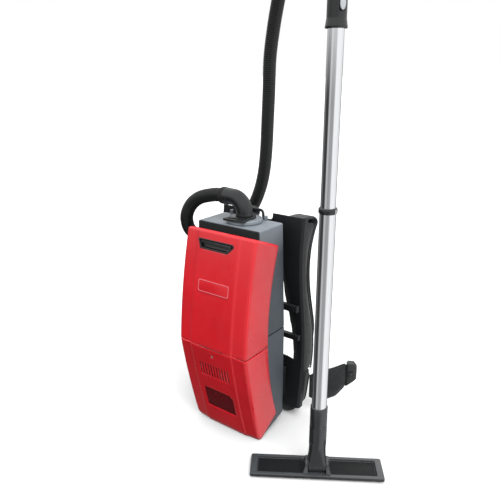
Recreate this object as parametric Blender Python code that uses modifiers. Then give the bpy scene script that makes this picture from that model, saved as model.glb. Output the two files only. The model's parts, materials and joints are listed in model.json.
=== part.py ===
"""Backpack vacuum cleaner: unit with hinged cover, harness, hose and telescopic wand with floor tool.

Units are metres, +Z is up. X runs across the unit, Y runs from its red front to the wearer's back.
Shapes are laid out about the middle of the unit; the empty named unit_frame then places them, so that
the bottom centre of the whole object is the origin.
"""
import math

import bmesh
import bpy
from mathutils import Matrix, Vector

# ---------------------------------------------------------------- driving dimensions
UNIT_PLACE = (-0.1009, -0.0078, 0.0)      # where the unit's middle stands in the object's frame
GAP = 0.0003                              # air between pieces that touch on the real object

# grey housings
SHELL = 0.003
HOUSING_HALF = 0.1045                     # half width at the parting line and below
HOUSING_TOP_HALF = 0.0945
HOUSING_BACK_Y = 0.050
HOUSING_RIM_Y = -0.050
HOUSING_SPLIT_Z = 0.290
HOUSING_TOP_Z = 0.570
HOUSING_HEEL_Z = 0.030                    # height of the underside at the back
HOUSING_TOE = (-0.054, 0.0025)            # y and z of the underside at the front

# red covers
COVER_HALF = 0.108
COVER_SHELL = 0.003
COVER_CORNER = 0.008
CREASE_X = 0.064                          # edge of the raised middle panel
COVER_SPLIT_Z = 0.2645                    # height of the hinge line between the covers
COVER_PEAK_Y = -0.128                     # how far forward the front bulges at the split
COVER_TOP_Z = 0.545
COVER_LIP_Z = 0.5582
REAR_EDGE_Y = -0.031                      # foremost point of the covers' rear edge
REAR_EDGE_Z = 0.287
REAR_EDGE_RADIUS = 0.683
HINGE_Y = COVER_PEAK_Y + 0.0018
COVER_HINGE = (0.0, HINGE_Y, COVER_SPLIT_Z)
KNUCKLE_RADIUS = 0.0016
PIN_RADIUS = 0.0006
LATCH_Z = 0.5255                          # heights of the things on the front
BADGE_Z = 0.424
SCREW_Z = 0.241
SLOT_Z = 0.194
GRILLE_Z = 0.099

# motor
MOTOR_Y = -0.030
MOTOR_BASE_Z = 0.112

# inlet
INLET_X = 0.010
BOSS_CENTRE_Y = 0.002
BOSS_RADIUS = 0.046
BOSS_TOP_Z = 0.580
ELBOW_RADIUS = 0.0213
ELBOW_BEND = 0.036
ELBOW_TOP_Z = 0.628
HOSE_RADIUS = 0.0178
HOSE_START = Vector((-0.0626, BOSS_CENTRE_Y, ELBOW_TOP_Z))
CUFF_X = -0.0468                          # where the hose's swivel cuff meets the elbow
HANDLE_HALF = 0.046                       # half width of the carry handle on top
HANDLE_X = -0.010
HANDLE_Y = 0.0455
HANDLE_AXIS_Z = 0.5765

# harness
FRAME_HALF = 0.132
FRAME_WALL = 0.004
FRAME_FLANGE = 0.020
# height, and where the back pads' inner edge is there
PAD_HALF_IN = ((0.124, 0.088), (0.180, 0.088), (0.250, 0.082), (0.340, 0.066), (0.420, 0.060), (0.552, 0.060))
PAD_HALF_OUT = 0.1272
# height, and half width of the lumbar pad there
LUMBAR_HALF = ((0.0, 0.096), (0.006, 0.106), (0.014, 0.116), (0.026, 0.1245), (0.040, PAD_HALF_OUT),
               (0.080, PAD_HALF_OUT), (0.112, PAD_HALF_OUT), (0.120, PAD_HALF_OUT))
PAD_GAP = FRAME_WALL + 0.0018             # from the frame's front surface to the padding
STRAP_X = 0.094
STRAP_WIDTH = 0.050
STRAP_THICK = 0.009
WEBBING_WIDTH = 0.025
WEBBING_THICK = 0.0016
WING_ROOT = Vector((0.1365, 0.1313))      # start of the right hip-belt wing, in plan
WING_TIP = Vector((0.245, 0.187))
WING_THICK = 0.014
# distance along the wing, and its low and high edges there
WING_LEVELS = ((0.0, 0.048, 0.118), (0.012, 0.046, 0.128), (0.045, 0.050, 0.146), (0.075, 0.066, 0.160),
               (0.092, 0.088, 0.168), (0.099, 0.098, 0.170))
SWITCH_ALONG = 0.112
SWITCH_Z = 0.138

# wand
WAND_X = 0.2844
WAND_Y = -0.0722
LOWER_TUBE_RADIUS = 0.0175
UPPER_TUBE_RADIUS = 0.0160
TUBE_WALL = 0.0012
LOWER_TUBE_SPAN = (0.110, 0.6485)
UPPER_TUBE_SPAN = (0.450, 1.060)
COLLAR_SPAN = (0.6490, 0.6605)
GRIP_RADIUS = 0.0190
GRIP_BASE_Z = 1.006
GRIP_LEAN = math.radians(55.0)            # how far the grip's end leans from upright
GRIP_BEND = 0.090
GRIP_TURN_Z = 1.085
GRIP_HEADING = Vector((-0.857, 0.515, 0.0))
GRIP_LENGTH = 0.235
BUTTON_YAW = math.radians(-30.0)
BUTTON_Z = 1.046

# floor tool
TOOL_YAW = math.radians(33.3)
TOOL_LENGTH = 0.320
TOOL_DEPTH = 0.075
TOOL_SHIFT = 0.008                        # the body's middle lies this far behind its pivot
TOOL_TOP_Z = 0.0125
TOOL_BASE_Z = 0.004
TOOL_PIVOT_Z = 0.029
HUB_RADIUS = 0.021
HUB_HALF = 0.021
SLEEVE_SPAN = (0.078, 0.187)
SLEEVE_RADIUS = 0.0200

X_AXIS = Vector((1.0, 0.0, 0.0))
Y_AXIS = Vector((0.0, 1.0, 0.0))
Z_AXIS = Vector((0.0, 0.0, 1.0))
WELD = 0.00001


# ---------------------------------------------------------------- scene and materials
def clear_scene():
    for obj in list(bpy.data.objects):
        bpy.data.objects.remove(obj, do_unlink=True)


def new_collection(name):
    collection = bpy.data.collections.new(name)
    bpy.context.scene.collection.children.link(collection)
    return collection


clear_scene()
PARTS = new_collection("backpack_vacuum_cleaner")
CUTTERS = new_collection("cutters")


def plain_material(name, colour, roughness, metallic=0.0):
    mat = bpy.data.materials.new(name)
    mat.use_nodes = True
    shader = mat.node_tree.nodes["Principled BSDF"]
    shader.inputs["Base Color"].default_value = (*colour, 1.0)
    shader.inputs["Roughness"].default_value = roughness
    shader.inputs["Metallic"].default_value = metallic
    return mat


RED = plain_material("red_cover", (0.60, 0.015, 0.025), 0.35)
GREY = plain_material("grey_housing", (0.16, 0.20, 0.23), 0.45)
BLACK = plain_material("black_plastic", (0.012, 0.013, 0.014), 0.4)
SOFT_BLACK = plain_material("black_rubber", (0.015, 0.015, 0.016), 0.7)
FABRIC = plain_material("charcoal_fabric", (0.025, 0.026, 0.028), 0.9)
CHROME = plain_material("chrome", (0.85, 0.86, 0.87), 0.12, 1.0)
STEEL = plain_material("steel", (0.6, 0.6, 0.6), 0.3, 1.0)
PALE = plain_material("pale_plastic", (0.62, 0.64, 0.66), 0.4)
TOOL_GREY = plain_material("tool_grey", (0.035, 0.042, 0.046), 0.4)
PAPER = plain_material("filter_paper", (0.75, 0.72, 0.64), 0.95)


# ---------------------------------------------------------------- modelling helpers
def add_object(name, mesh, mat):
    obj = bpy.data.objects.new(name, mesh)
    PARTS.objects.link(obj)
    if mat is not None:
        mesh.materials.append(mat)
    return obj


def mesh_from(bm, name):
    mesh = bpy.data.meshes.new(name)
    bm.to_mesh(mesh)
    bm.free()
    return mesh


def box_mesh(name, size, centre):
    bm = bmesh.new()
    bmesh.ops.create_cube(bm, size=1.0)
    bmesh.ops.scale(bm, vec=size, verts=bm.verts)
    bmesh.ops.translate(bm, vec=centre, verts=bm.verts)
    return mesh_from(bm, name)


def box(name, size, centre, mat, bevel=0.0):
    obj = add_object(name, box_mesh(name, size, centre), mat)
    if bevel:
        round_edges(obj, bevel)
    return obj


def round_edges(obj, width, segments=1):
    mod = obj.modifiers.new("rounded_edges", "BEVEL")
    mod.width = width
    mod.segments = segments
    mod.limit_method = "ANGLE"
    return mod


def cylinder(name, radius, start, end, mat, sides=16):
    """A solid rod from start to end."""
    start = Vector(start)
    axis = Vector(end) - start
    bm = bmesh.new()
    bmesh.ops.create_cone(bm, cap_ends=True, segments=sides, radius1=radius, radius2=radius,
                          depth=axis.length)
    turn = Z_AXIS.rotation_difference(axis).to_matrix().to_4x4()
    place = Matrix.Translation(start + axis / 2.0) @ turn
    bmesh.ops.transform(bm, matrix=place, verts=bm.verts)
    return add_object(name, mesh_from(bm, name), mat)


def turned(name, profile, foot, mat, sides=24, direction=Z_AXIS, closed=True):
    """Turn (radius, height) points about an axis that starts at foot. Points run down the outer side."""
    mesh = bpy.data.meshes.new(name)
    points = [(r, 0.0, h) for r, h in profile]
    edges = [(i, i + 1) for i in range(len(points) - 1)]
    if closed:
        edges.append((len(points) - 1, 0))
    mesh.from_pydata(points, edges, [])
    obj = add_object(name, mesh, mat)
    mod = obj.modifiers.new("turned", "SCREW")
    mod.steps = sides
    mod.render_steps = sides
    mod.merge_threshold = WELD
    mod.use_merge_vertices = True
    mod.use_normal_calculate = False
    turn = Z_AXIS.rotation_difference(Vector(direction)).to_matrix().to_4x4()
    obj.matrix_world = Matrix.Translation(Vector(foot)) @ turn
    return obj


def curve_object(name, points, radius, mat, resolution=3):
    curve = bpy.data.curves.new(name, "CURVE")
    curve.dimensions = "3D"
    curve.bevel_depth = radius
    curve.bevel_resolution = resolution
    curve.use_fill_caps = True
    spline = curve.splines.new("POLY")
    spline.points.add(len(points) - 1)
    for point, place in zip(spline.points, points):
        point.co = (*place, 1.0)
    obj = bpy.data.objects.new(name, curve)
    PARTS.objects.link(obj)
    curve.materials.append(mat)
    return obj


def as_mesh(obj):
    """Replace a curve or a modified object by its plain mesh, with welded caps."""
    bpy.context.view_layer.update()
    evaluated = obj.evaluated_get(bpy.context.evaluated_depsgraph_get())
    mesh = bpy.data.meshes.new_from_object(evaluated)
    bm = bmesh.new()
    bm.from_mesh(mesh)
    bmesh.ops.remove_doubles(bm, verts=bm.verts, dist=WELD)
    bmesh.ops.recalc_face_normals(bm, faces=bm.faces)
    bm.to_mesh(mesh)
    bm.free()
    name = obj.name
    place = obj.matrix_world.copy()
    bpy.data.objects.remove(obj, do_unlink=True)
    plain = bpy.data.objects.new(name, mesh)
    PARTS.objects.link(plain)
    plain.matrix_world = place
    return plain


def outline_plate(name, outlines, thickness, mat, place):
    """A flat plate from closed 2D outlines; the first is the edge and the others are holes."""
    curve = bpy.data.curves.new(name, "CURVE")
    curve.dimensions = "2D"
    curve.fill_mode = "BOTH"
    curve.extrude = thickness / 2.0
    for outline in outlines:
        spline = curve.splines.new("POLY")
        spline.points.add(len(outline) - 1)
        for point, (u, v) in zip(spline.points, outline):
            point.co = (u, v, 0.0, 1.0)
        spline.use_cyclic_u = True
    obj = bpy.data.objects.new(name, curve)
    PARTS.objects.link(obj)
    if mat is not None:
        curve.materials.append(mat)
    obj.matrix_world = place
    return as_mesh(obj)


def loft(name, rings, mat):
    """Join rings of equally many points into one closed body."""
    bm = bmesh.new()
    rows = [[bm.verts.new(p) for p in ring] for ring in rings]
    count = len(rows[0])
    for low, high in zip(rows, rows[1:]):
        for i in range(count):
            j = (i + 1) % count
            bm.faces.new((low[i], low[j], high[j], high[i]))
    bm.faces.new(rows[0])
    bm.faces.new(rows[-1])
    bmesh.ops.recalc_face_normals(bm, faces=bm.faces)
    return add_object(name, mesh_from(bm, name), mat)


def sheet(name, rows, mat, thickness):
    """An open grid of rows, mirrored across the unit's middle plane and given thickness behind it."""
    bm = bmesh.new()
    grid = [[bm.verts.new(p) for p in row] for row in rows]
    for low, high in zip(grid, grid[1:]):
        for i in range(len(low) - 1):
            bm.faces.new((low[i], low[i + 1], high[i + 1], high[i]))
    obj = add_object(name, mesh_from(bm, name), mat)
    mirror = obj.modifiers.new("other_half", "MIRROR")
    mirror.merge_threshold = WELD
    wall = obj.modifiers.new("wall", "SOLIDIFY")
    wall.thickness = thickness
    wall.offset = -1.0
    wall.use_even_offset = True
    return obj


def hide_cutter(cutter):
    cutter.hide_render = True
    cutter.display_type = "WIRE"
    for collection in list(cutter.users_collection):
        collection.objects.unlink(cutter)
    CUTTERS.objects.link(cutter)


def combine(target, tool, operation):
    hide_cutter(tool)
    mod = target.modifiers.new(operation.lower(), "BOOLEAN")
    mod.operation = operation
    mod.solver = "EXACT"
    mod.object = tool
    return target


def cut(target, tool):
    return combine(target, tool, "DIFFERENCE")


def join(target, tool):
    return combine(target, tool, "UNION")


def many_boxes(name, boxes):
    """One cutter that holds several separate boxes, each a (size, centre) pair."""
    bm = bmesh.new()
    for size, centre in boxes:
        made = bmesh.ops.create_cube(bm, size=1.0)["verts"]
        bmesh.ops.scale(bm, vec=size, verts=made)
        bmesh.ops.translate(bm, vec=centre, verts=made)
    return add_object(name, mesh_from(bm, name), None)


def arc_points(centre, radius, start, end, steps):
    """2D points on an arc; angles in degrees."""
    points = []
    for i in range(steps + 1):
        angle = math.radians(start + (end - start) * i / steps)
        points.append((centre[0] + radius * math.cos(angle), centre[1] + radius * math.sin(angle)))
    return points


def rounded_rectangle(half_u, half_v, radius, steps=2):
    points = []
    corners = ((1, 1, 0), (-1, 1, 90), (-1, -1, 180), (1, -1, 270))
    for sign_u, sign_v, start in corners:
        middle = (sign_u * (half_u - radius), sign_v * (half_v - radius))
        points += arc_points(middle, radius, start, start + 90, steps)
    return points


def smooth_route(points, steps):
    """Points along a smooth curve through the given ones."""
    pts = [Vector(p) for p in points]
    padded = [2 * pts[0] - pts[1]] + pts + [2 * pts[-1] - pts[-2]]
    route = []
    for i in range(1, len(padded) - 2):
        p0, p1, p2, p3 = padded[i - 1:i + 3]
        for k in range(steps):
            t = k / steps
            route.append(0.5 * (2 * p1 + (p2 - p0) * t + (2 * p0 - 5 * p1 + 4 * p2 - p3) * t * t
                                + (3 * p1 - p0 - 3 * p2 + p3) * t ** 3))
    route.append(pts[-1])
    return route


def facing_front():
    """Turns a flat outline from its own plane into the X-Z plane, with its normal towards -Y."""
    return Matrix.Rotation(math.radians(90.0), 4, "X")


def smooth_shade(obj, angle=35.0):
    if obj.type == "MESH":
        obj.data.shade_smooth()
        obj.data.set_sharp_from_angle(angle=math.radians(angle))


def set_origin(obj, place):
    """Move the object's origin to a joint axis without moving its shape."""
    shift = obj.matrix_world.inverted() @ Vector(place)
    obj.data.transform(Matrix.Translation(-shift))
    obj.matrix_world = Matrix.Translation(Vector(place)) @ obj.matrix_world.to_3x3().to_4x4()


# ---------------------------------------------------------------- shared outlines of the unit
def front_y(z):
    """Depth of the covers' front at the middle plane: a barrel that bulges most at the split."""
    rise = z - COVER_SPLIT_Z
    if rise >= 0.0:
        return COVER_PEAK_Y + 0.0586 * rise + 0.308 * rise * rise
    return COVER_PEAK_Y - 0.165 * rise + 0.25 * rise * rise


def front_slope(z):
    """Lean of the covers' front from upright, in radians; positive leans back going up."""
    rise = z - COVER_SPLIT_Z
    if rise >= 0.0:
        return math.atan(0.0586 + 0.616 * rise)
    return math.atan(-0.165 + 0.5 * rise)


def rear_edge_y(z):
    """The covers' rear edge on each flank is an arc."""
    drop = z - REAR_EDGE_Z
    return REAR_EDGE_Y + REAR_EDGE_RADIUS - math.sqrt(REAR_EDGE_RADIUS ** 2 - drop * drop)


def on_front(z, lift):
    """A frame on the front surface: local X is across, local Y is up the surface, local Z is outwards."""
    lean = front_slope(z)
    up = Vector((0.0, math.sin(lean), math.cos(lean)))
    out = Vector((0.0, -math.cos(lean), math.sin(lean)))
    place = Matrix((X_AXIS, up, out)).transposed().to_4x4()
    place.translation = Vector((0.0, front_y(z), z)) + out * lift
    return place


def frame_y(z):
    """Front surface of the S-shaped back frame."""
    return 0.0915 - 0.0125 * math.cos(math.pi * (z - 0.47) / 0.27)


def pad_y(z):
    """Surface of the harness padding towards the wearer."""
    flare = max(0.0, z - 0.47)
    return 0.155 - 0.021 * math.cos(math.pi * (z - 0.43) / 0.24) + 2.0 * flare * flare


# ---------------------------------------------------------------- grey housings
def tapered_shell(name, corners_low, corners_high, dropped):
    """A thin box from two rectangles (half width, y front, y back, z front, z back), less some faces."""
    bm = bmesh.new()
    bmesh.ops.create_cube(bm, size=1.0)
    for vert in bm.verts:
        half, y_front, y_back, z_front, z_back = corners_high if vert.co.z > 0 else corners_low
        side = 1.0 if vert.co.x > 0 else -1.0
        back = vert.co.y > 0
        vert.co = (side * half, y_back if back else y_front, z_back if back else z_front)
    bm.normal_update()
    gone = [face for face in bm.faces if any(face.normal.dot(way) > 0.9 for way in dropped)]
    bmesh.ops.delete(bm, geom=gone, context="FACES")
    obj = add_object(name, mesh_from(bm, name), GREY)
    round_edges(obj, 0.0045, 2)
    wall = obj.modifiers.new("wall", "SOLIDIFY")
    wall.thickness = SHELL
    wall.offset = -1.0
    wall.use_even_offset = True
    return obj


def make_upper_housing():
    low = (HOUSING_HALF, HOUSING_RIM_Y, HOUSING_BACK_Y, HOUSING_SPLIT_Z, HOUSING_SPLIT_Z)
    high = (HOUSING_TOP_HALF, HOUSING_RIM_Y, HOUSING_BACK_Y, HOUSING_TOP_Z, HOUSING_TOP_Z)
    shell = tapered_shell("upper_housing", low, high, [-Y_AXIS])
    inlet = cylinder("inlet_hole", 0.0225, (INLET_X, BOSS_CENTRE_Y, 0.55), (INLET_X, BOSS_CENTRE_Y, 0.59), None, 20)
    outlet = cylinder("motor_hole", 0.030, (0, -0.008, 0.28), (0, -0.008, 0.30), None, 20)
    lug_places = [(HANDLE_X + side * 0.0545, HANDLE_Y - 0.001, HANDLE_AXIS_Z - 0.001) for side in (-1, 1)]
    lugs = many_boxes("handle_lugs", [((0.007, 0.010, 0.014), place) for place in lug_places])
    cut(shell, inlet)
    cut(shell, outlet)
    join(shell, lugs)


def make_lower_housing():
    toe_y, toe_z = HOUSING_TOE
    low = (HOUSING_HALF, toe_y, HOUSING_BACK_Y, toe_z, HOUSING_HEEL_Z)
    top_z = HOUSING_SPLIT_Z - 0.0008
    high = (HOUSING_HALF, HOUSING_RIM_Y, HOUSING_BACK_Y, top_z, top_z)
    tapered_shell("lower_housing", low, high, [-Y_AXIS, Z_AXIS])


def make_cover_gasket():
    """The dark seal on the rim that the upper cover closes on."""
    low_z, high_z = HOUSING_SPLIT_Z + 0.001, HOUSING_TOP_Z - 0.0015
    low_half, high_half, band = HOUSING_HALF - 0.0015, HOUSING_TOP_HALF - 0.0005, 0.007
    header = 0.022                        # deeper along the top, where it stops dust from the bag's collar
    edge = [(-low_half, low_z), (low_half, low_z), (high_half, high_z), (-high_half, high_z)]
    hole = [(-low_half + band, low_z + band), (low_half - band, low_z + band),
            (high_half - band, high_z - header), (-high_half + band, high_z - header)]
    thick = 0.0030
    place = Matrix.Translation((0.0, HOUSING_RIM_Y - GAP - thick / 2, 0.0)) @ facing_front()
    outline_plate("cover_gasket", [edge, hole], thick, SOFT_BLACK, place)


# ---------------------------------------------------------------- red covers
def cover_half_row(z_front, slant, inset_front=0.0, inset_side=0.0):
    """Half of one level of a cover, from the middle plane round the corner to the rear edge.

    The level drops or rises towards the back by slant, as the flanks' top and bottom edges do.
    """
    y = front_y(z_front) + inset_front
    half = COVER_HALF - inset_side
    corner = (half - COVER_CORNER, y + 0.0035 + COVER_CORNER)
    plan = [(0.0, y), (CREASE_X * 0.5, y), (CREASE_X, y), (CREASE_X + 0.005, y + 0.0014)]
    plan += arc_points(corner, COVER_CORNER, -90, 0, 3)
    rear = rear_edge_y(z_front)
    for _ in range(3):
        rear = rear_edge_y(z_front + slant * (rear - y))
    plan += [(half, (corner[1] + rear) / 2), (half, rear)]
    return [(x, depth, z_front + slant * (depth - y)) for x, depth in plan]


def knuckle(x, length, reach):
    """One hinge knuckle on the split line, with a web that reaches up (+) or down (-) into its cover."""
    ring = cylinder("knuckle", KNUCKLE_RADIUS, (x - length / 2, HINGE_Y, COVER_SPLIT_Z),
                    (x + length / 2, HINGE_Y, COVER_SPLIT_Z), None, 10)
    web = box("web", (length, 0.0018, abs(reach)), (x, HINGE_Y, COVER_SPLIT_Z + reach / 2), None)
    return ring, web


def add_knuckles(cover, places, reach):
    for x, length in places:
        for piece in knuckle(x, length, reach):
            join(cover, piece)
    bore = cylinder("pin_bore", PIN_RADIUS + GAP, (-0.09, HINGE_Y, COVER_SPLIT_Z),
                    (0.09, HINGE_Y, COVER_SPLIT_Z), None, 8)
    cut(cover, bore)


def latch_outline(grow):
    """The grip recess: wider at the top than at the bottom."""
    return [(-0.061 - grow, 0.0110 + grow), (-0.052 - grow, -0.0105 - grow),
            (0.030 + grow, -0.0105 - grow), (0.046 + grow, 0.0035),
            (0.048 + grow, 0.0080), (0.043 + grow, 0.0110 + grow)]


def top_web():
    """The sloping web that closes the cover's top back to the housing's rim."""
    lip_y = front_y(COVER_LIP_Z) + 0.0085
    corner = (COVER_HALF - 0.0080 - COVER_CORNER, lip_y + 0.0115)
    half = [(CREASE_X, lip_y - 0.0013)] + arc_points(corner, COVER_CORNER + 0.0012, -90, 0, 3)
    half.append((half[-1][0], HOUSING_RIM_Y - 0.0045))
    plan = [(-x, y) for x, y in reversed(half)] + half
    rings = [[(x, y, COVER_LIP_Z - drop - 0.388 * (y - lip_y)) for x, y in plan] for drop in (0.0034, 0.0014)]
    return loft("top_web", rings, None)


def make_upper_cover():
    """Levels run from the split to the top and then in over the housing's rim."""
    low = COVER_SPLIT_Z + 0.0018
    rows = []
    levels = 8
    for i in range(levels):
        z = low + (COVER_TOP_Z - low) * i / (levels - 1)
        share = (z - COVER_SPLIT_Z) / (COVER_TOP_Z - COVER_SPLIT_Z)
        rows.append(cover_half_row(z, -0.388 * share * share))
    rows.append(cover_half_row(0.5545, -0.388, 0.0004, 0.0003))
    rows.append(cover_half_row(0.5570, -0.388, 0.0018, 0.0015))
    rows.append(cover_half_row(0.5580, -0.388, 0.0042, 0.0038))
    rows.append(cover_half_row(COVER_LIP_Z, -0.388, 0.0085, 0.0080))
    cover = sheet("upper_cover", rows, RED, COVER_SHELL)
    join(cover, top_web())
    place = on_front(LATCH_Z, 0.0)
    cut(cover, outline_plate("latch_hole", [latch_outline(GAP)], 0.05, None, place))
    add_knuckles(cover, [(-0.06, 0.018), (0.06, 0.018)], 0.0045)
    set_origin(cover, COVER_HINGE)
    return cover


def make_lower_cover():
    low, high = 0.0, COVER_SPLIT_Z - 0.0022
    rows = []
    levels = 8
    for i in range(levels):
        z = low + (high - low) * i / (levels - 1)
        share = (COVER_SPLIT_Z - z) / COVER_SPLIT_Z
        rows.append(cover_half_row(z, 0.61 * share * share))
    cover = sheet("lower_cover", rows, RED, COVER_SHELL)
    slots = [((0.0046, 0.05, 0.039), (-0.045 + 0.009 * i, front_y(SLOT_Z), SLOT_Z)) for i in range(11)]
    cut(cover, many_boxes("slots", slots))
    cut(cover, outline_plate("grille_hole", [grille_outline(GAP)], 0.05, None, on_front(GRILLE_Z, 0.0)))
    cut(cover, cylinder("screw_hole", 0.0042, (0, front_y(SCREW_Z) - 0.01, SCREW_Z),
                        (0, front_y(SCREW_Z) + 0.01, SCREW_Z), None, 10))
    places = [(side * 0.06 + step * 0.0146, 0.010) for side in (-1, 1) for step in (-1, 1)]
    add_knuckles(cover, places, -0.0045)
    return cover


def grille_outline(grow):
    """The lower grille: a rectangle with its top right corner cut off."""
    half_w, half_h, chamfer = 0.048 + grow, 0.034 + grow, 0.010
    return [(-half_w, -half_h), (half_w, -half_h), (half_w, half_h - chamfer),
            (half_w - chamfer, half_h), (-half_w, half_h)]


def make_exhaust_grille():
    """A ribbed plate set back in the lower cover's opening."""
    place = on_front(GRILLE_Z, -0.0035)
    plate = outline_plate("exhaust_grille", [grille_outline(-GAP)], 0.003, RED, place)
    slots = []
    for row in range(7):
        for column in (-1, 1):
            slots.append(((0.038, 0.0042, 0.02), (column * 0.0215, -0.026 + row * 0.0078, 0.0)))
    cutter = many_boxes("grille_slots", slots)
    cutter.matrix_world = place
    cut(plate, cutter)


def make_screw(name, z, lift):
    place = on_front(z, lift)
    foot = place @ Vector((0.0, 0.0, -0.006))
    out = place.to_3x3() @ Z_AXIS
    turned(name, [(0.0, 0.0065), (0.0018, 0.0063), (0.0027, 0.005), (0.0027, 0.0035), (0.0012, 0.0035),
                  (0.0012, 0.0), (0.0, 0.0)], foot, STEEL, 10, out, closed=False)


def make_hinge_pin():
    cylinder("hinge_pin", PIN_RADIUS, (-0.0795, HINGE_Y, COVER_SPLIT_Z), (0.0795, HINGE_Y, COVER_SPLIT_Z),
             STEEL, 8)


def make_latch():
    """A recessed cup with a flange on the cover's surface, and a flap that hinges along its top edge."""
    place = on_front(LATCH_Z, 0.0)
    steps = ((-GAP, -0.013), (-GAP, 0.0004), (0.0020, 0.0004), (0.0020, 0.0016), (-0.0018, 0.0016),
             (-0.0018, -0.0112))
    rings = [[place @ Vector((u, v, depth)) for u, v in latch_outline(grow)] for grow, depth in steps]
    cup = loft("latch_cup", rings, BLACK)
    set_origin(cup, COVER_HINGE)
    flap = [(-0.0560, 0.0078), (-0.0540, 0.0005), (0.0380, 0.0005), (0.0415, 0.0078)]
    leaf = outline_plate("latch_handle", [flap], 0.0024, BLACK,
                         place @ Matrix.Translation((0.0, 0.0, -0.0016)))
    set_origin(leaf, place @ Vector((0.0, 0.0078, -0.0016)))


def make_badge():
    thick = 0.0009
    place = on_front(BADGE_Z, GAP + thick / 2)
    badge = outline_plate("blank_badge", [rounded_rectangle(0.049, 0.016, 0.007)], thick, RED, place)
    set_origin(badge, COVER_HINGE)


# ---------------------------------------------------------------- inlet, bag and handle on top
def make_inlet():
    foot = (INLET_X, BOSS_CENTRE_Y, HOUSING_TOP_Z + GAP)
    height = BOSS_TOP_Z - HOUSING_TOP_Z - GAP
    turned("inlet_boss", [(0.022, height), (BOSS_RADIUS - 0.006, height), (BOSS_RADIUS - 0.002, height - 0.002),
                          (BOSS_RADIUS, height - 0.006), (BOSS_RADIUS, 0.0), (0.022, 0.0)],
           foot, GREY, 32)
    turned("inlet_seal", [(0.0220, 0.010), (0.032, 0.010), (0.032, 0.006), (0.025, 0.0), (0.0220, 0.0)],
           (INLET_X, BOSS_CENTRE_Y, 0.5565), SOFT_BLACK, 20)
    route = [(INLET_X, BOSS_CENTRE_Y, 0.546), (INLET_X, BOSS_CENTRE_Y, 0.585)]
    bend_x, bend_z = INLET_X - ELBOW_BEND, ELBOW_TOP_Z - ELBOW_BEND
    for u, v in arc_points((bend_x, bend_z), ELBOW_BEND, 0, 90, 7):
        route.append((u, BOSS_CENTRE_Y, v))
    route.append((CUFF_X + GAP, BOSS_CENTRE_Y, ELBOW_TOP_Z))
    curve_object("inlet_elbow", route, ELBOW_RADIUS, BLACK, 5)


def make_locking_ring():
    """A flat ring round the elbow's foot with a triangular tab that has a window in it."""
    edge = [(-0.026, -0.053), (0.033, -0.045)] + arc_points((0.0, 0.0), 0.029, -25, 215, 10)
    window = [(-0.021, -0.0465), (0.013, -0.0415), (-0.007, -0.0300)]
    bore = arc_points((0.0, 0.0), ELBOW_RADIUS + 0.0006, 0, 345, 23)
    place = Matrix.Translation((INLET_X, BOSS_CENTRE_Y, BOSS_TOP_Z + GAP + 0.0025))
    ring = outline_plate("locking_ring", [edge, bore, window], 0.005, BLACK, place)
    set_origin(ring, (INLET_X, BOSS_CENTRE_Y, BOSS_TOP_Z))


def make_bag():
    place = Matrix.Translation((INLET_X, BOSS_CENTRE_Y, 0.5492))
    collar_hole = arc_points((0.0, 0.0), 0.0225, 0, 342, 19)
    outline_plate("bag_collar", [rounded_rectangle(0.045, 0.040, 0.006), collar_hole], 0.0025, PAPER, place)
    rings = []
    for z, half_x, half_y in ((0.306, 0.070, 0.028), (0.318, 0.084, 0.038), (0.42, 0.088, 0.042),
                              (0.52, 0.084, 0.039), (0.536, 0.072, 0.030)):
        outline = rounded_rectangle(half_x, half_y, 0.014)
        rings.append([(u, v, z) for u, v in outline])
    loft("filter_bag", rings, PAPER)
    box("motor_filter", (0.150, 0.084, 0.008), (0.0, -0.003, 0.2985), FABRIC, 0.002)


def make_carry_handle():
    """A bent rod that folds back about its two feet."""
    half = [(HANDLE_HALF, HANDLE_AXIS_Z), (HANDLE_HALF, 0.5850), (0.0435, 0.5905), (0.0380, 0.5940)]
    outline = [(-x, z) for x, z in half] + half[::-1]
    route = [(HANDLE_X + x, HANDLE_Y, z) for x, z in outline]
    handle = as_mesh(curve_object("carry_handle", route, 0.0038, BLACK, 2))
    set_origin(handle, (HANDLE_X, HANDLE_Y, HANDLE_AXIS_Z))


# ---------------------------------------------------------------- motor and exhaust
def make_motor():
    """A turned casing, open at the top, with the fan and armature on one shaft inside it."""
    wall = 0.002
    outer = [(0.024, 0.150), (0.056, 0.150), (0.058, 0.146), (0.058, 0.100), (0.046, 0.092), (0.044, 0.012),
             (0.038, 0.0), (0.010, 0.0)]
    inner = [(0.010, wall), (0.0375, wall), (0.042, 0.013), (0.044, 0.0925), (0.056, 0.1015),
             (0.056, 0.148), (0.024, 0.148)]
    turned("motor_casing", outer + inner, (0.0, MOTOR_Y, MOTOR_BASE_Z), BLACK, 24)
    rotor = [(0.0, 0.132), (0.010, 0.132), (0.012, 0.126), (0.050, 0.124), (0.052, 0.112), (0.007, 0.108),
             (0.006, 0.085), (0.026, 0.083), (0.026, 0.030), (0.004, 0.027), (0.004, 0.006), (0.0, 0.006)]
    turned("fan_rotor", rotor, (0.0, MOTOR_Y, MOTOR_BASE_Z), STEEL, 20, closed=False)
    turned("motor_seal", [(0.028, 0.026), (0.040, 0.026), (0.047, 0.010), (0.050, 0.0), (0.036, 0.0),
                          (0.034, 0.008)], (0.0, MOTOR_Y, 0.2625), SOFT_BLACK, 20)
    turned("motor_mount", [(0.020, 0.087), (0.030, 0.087), (0.034, 0.078), (0.034, 0.0), (0.020, 0.0)],
           (0.0, MOTOR_Y, 0.0245), SOFT_BLACK, 20)
    place = on_front(GRILLE_Z, -0.0125)
    filter_edge = rounded_rectangle(0.052, 0.036, 0.003, 1)
    outline_plate("exhaust_filter", [filter_edge], 0.010, PAPER, place)


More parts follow.
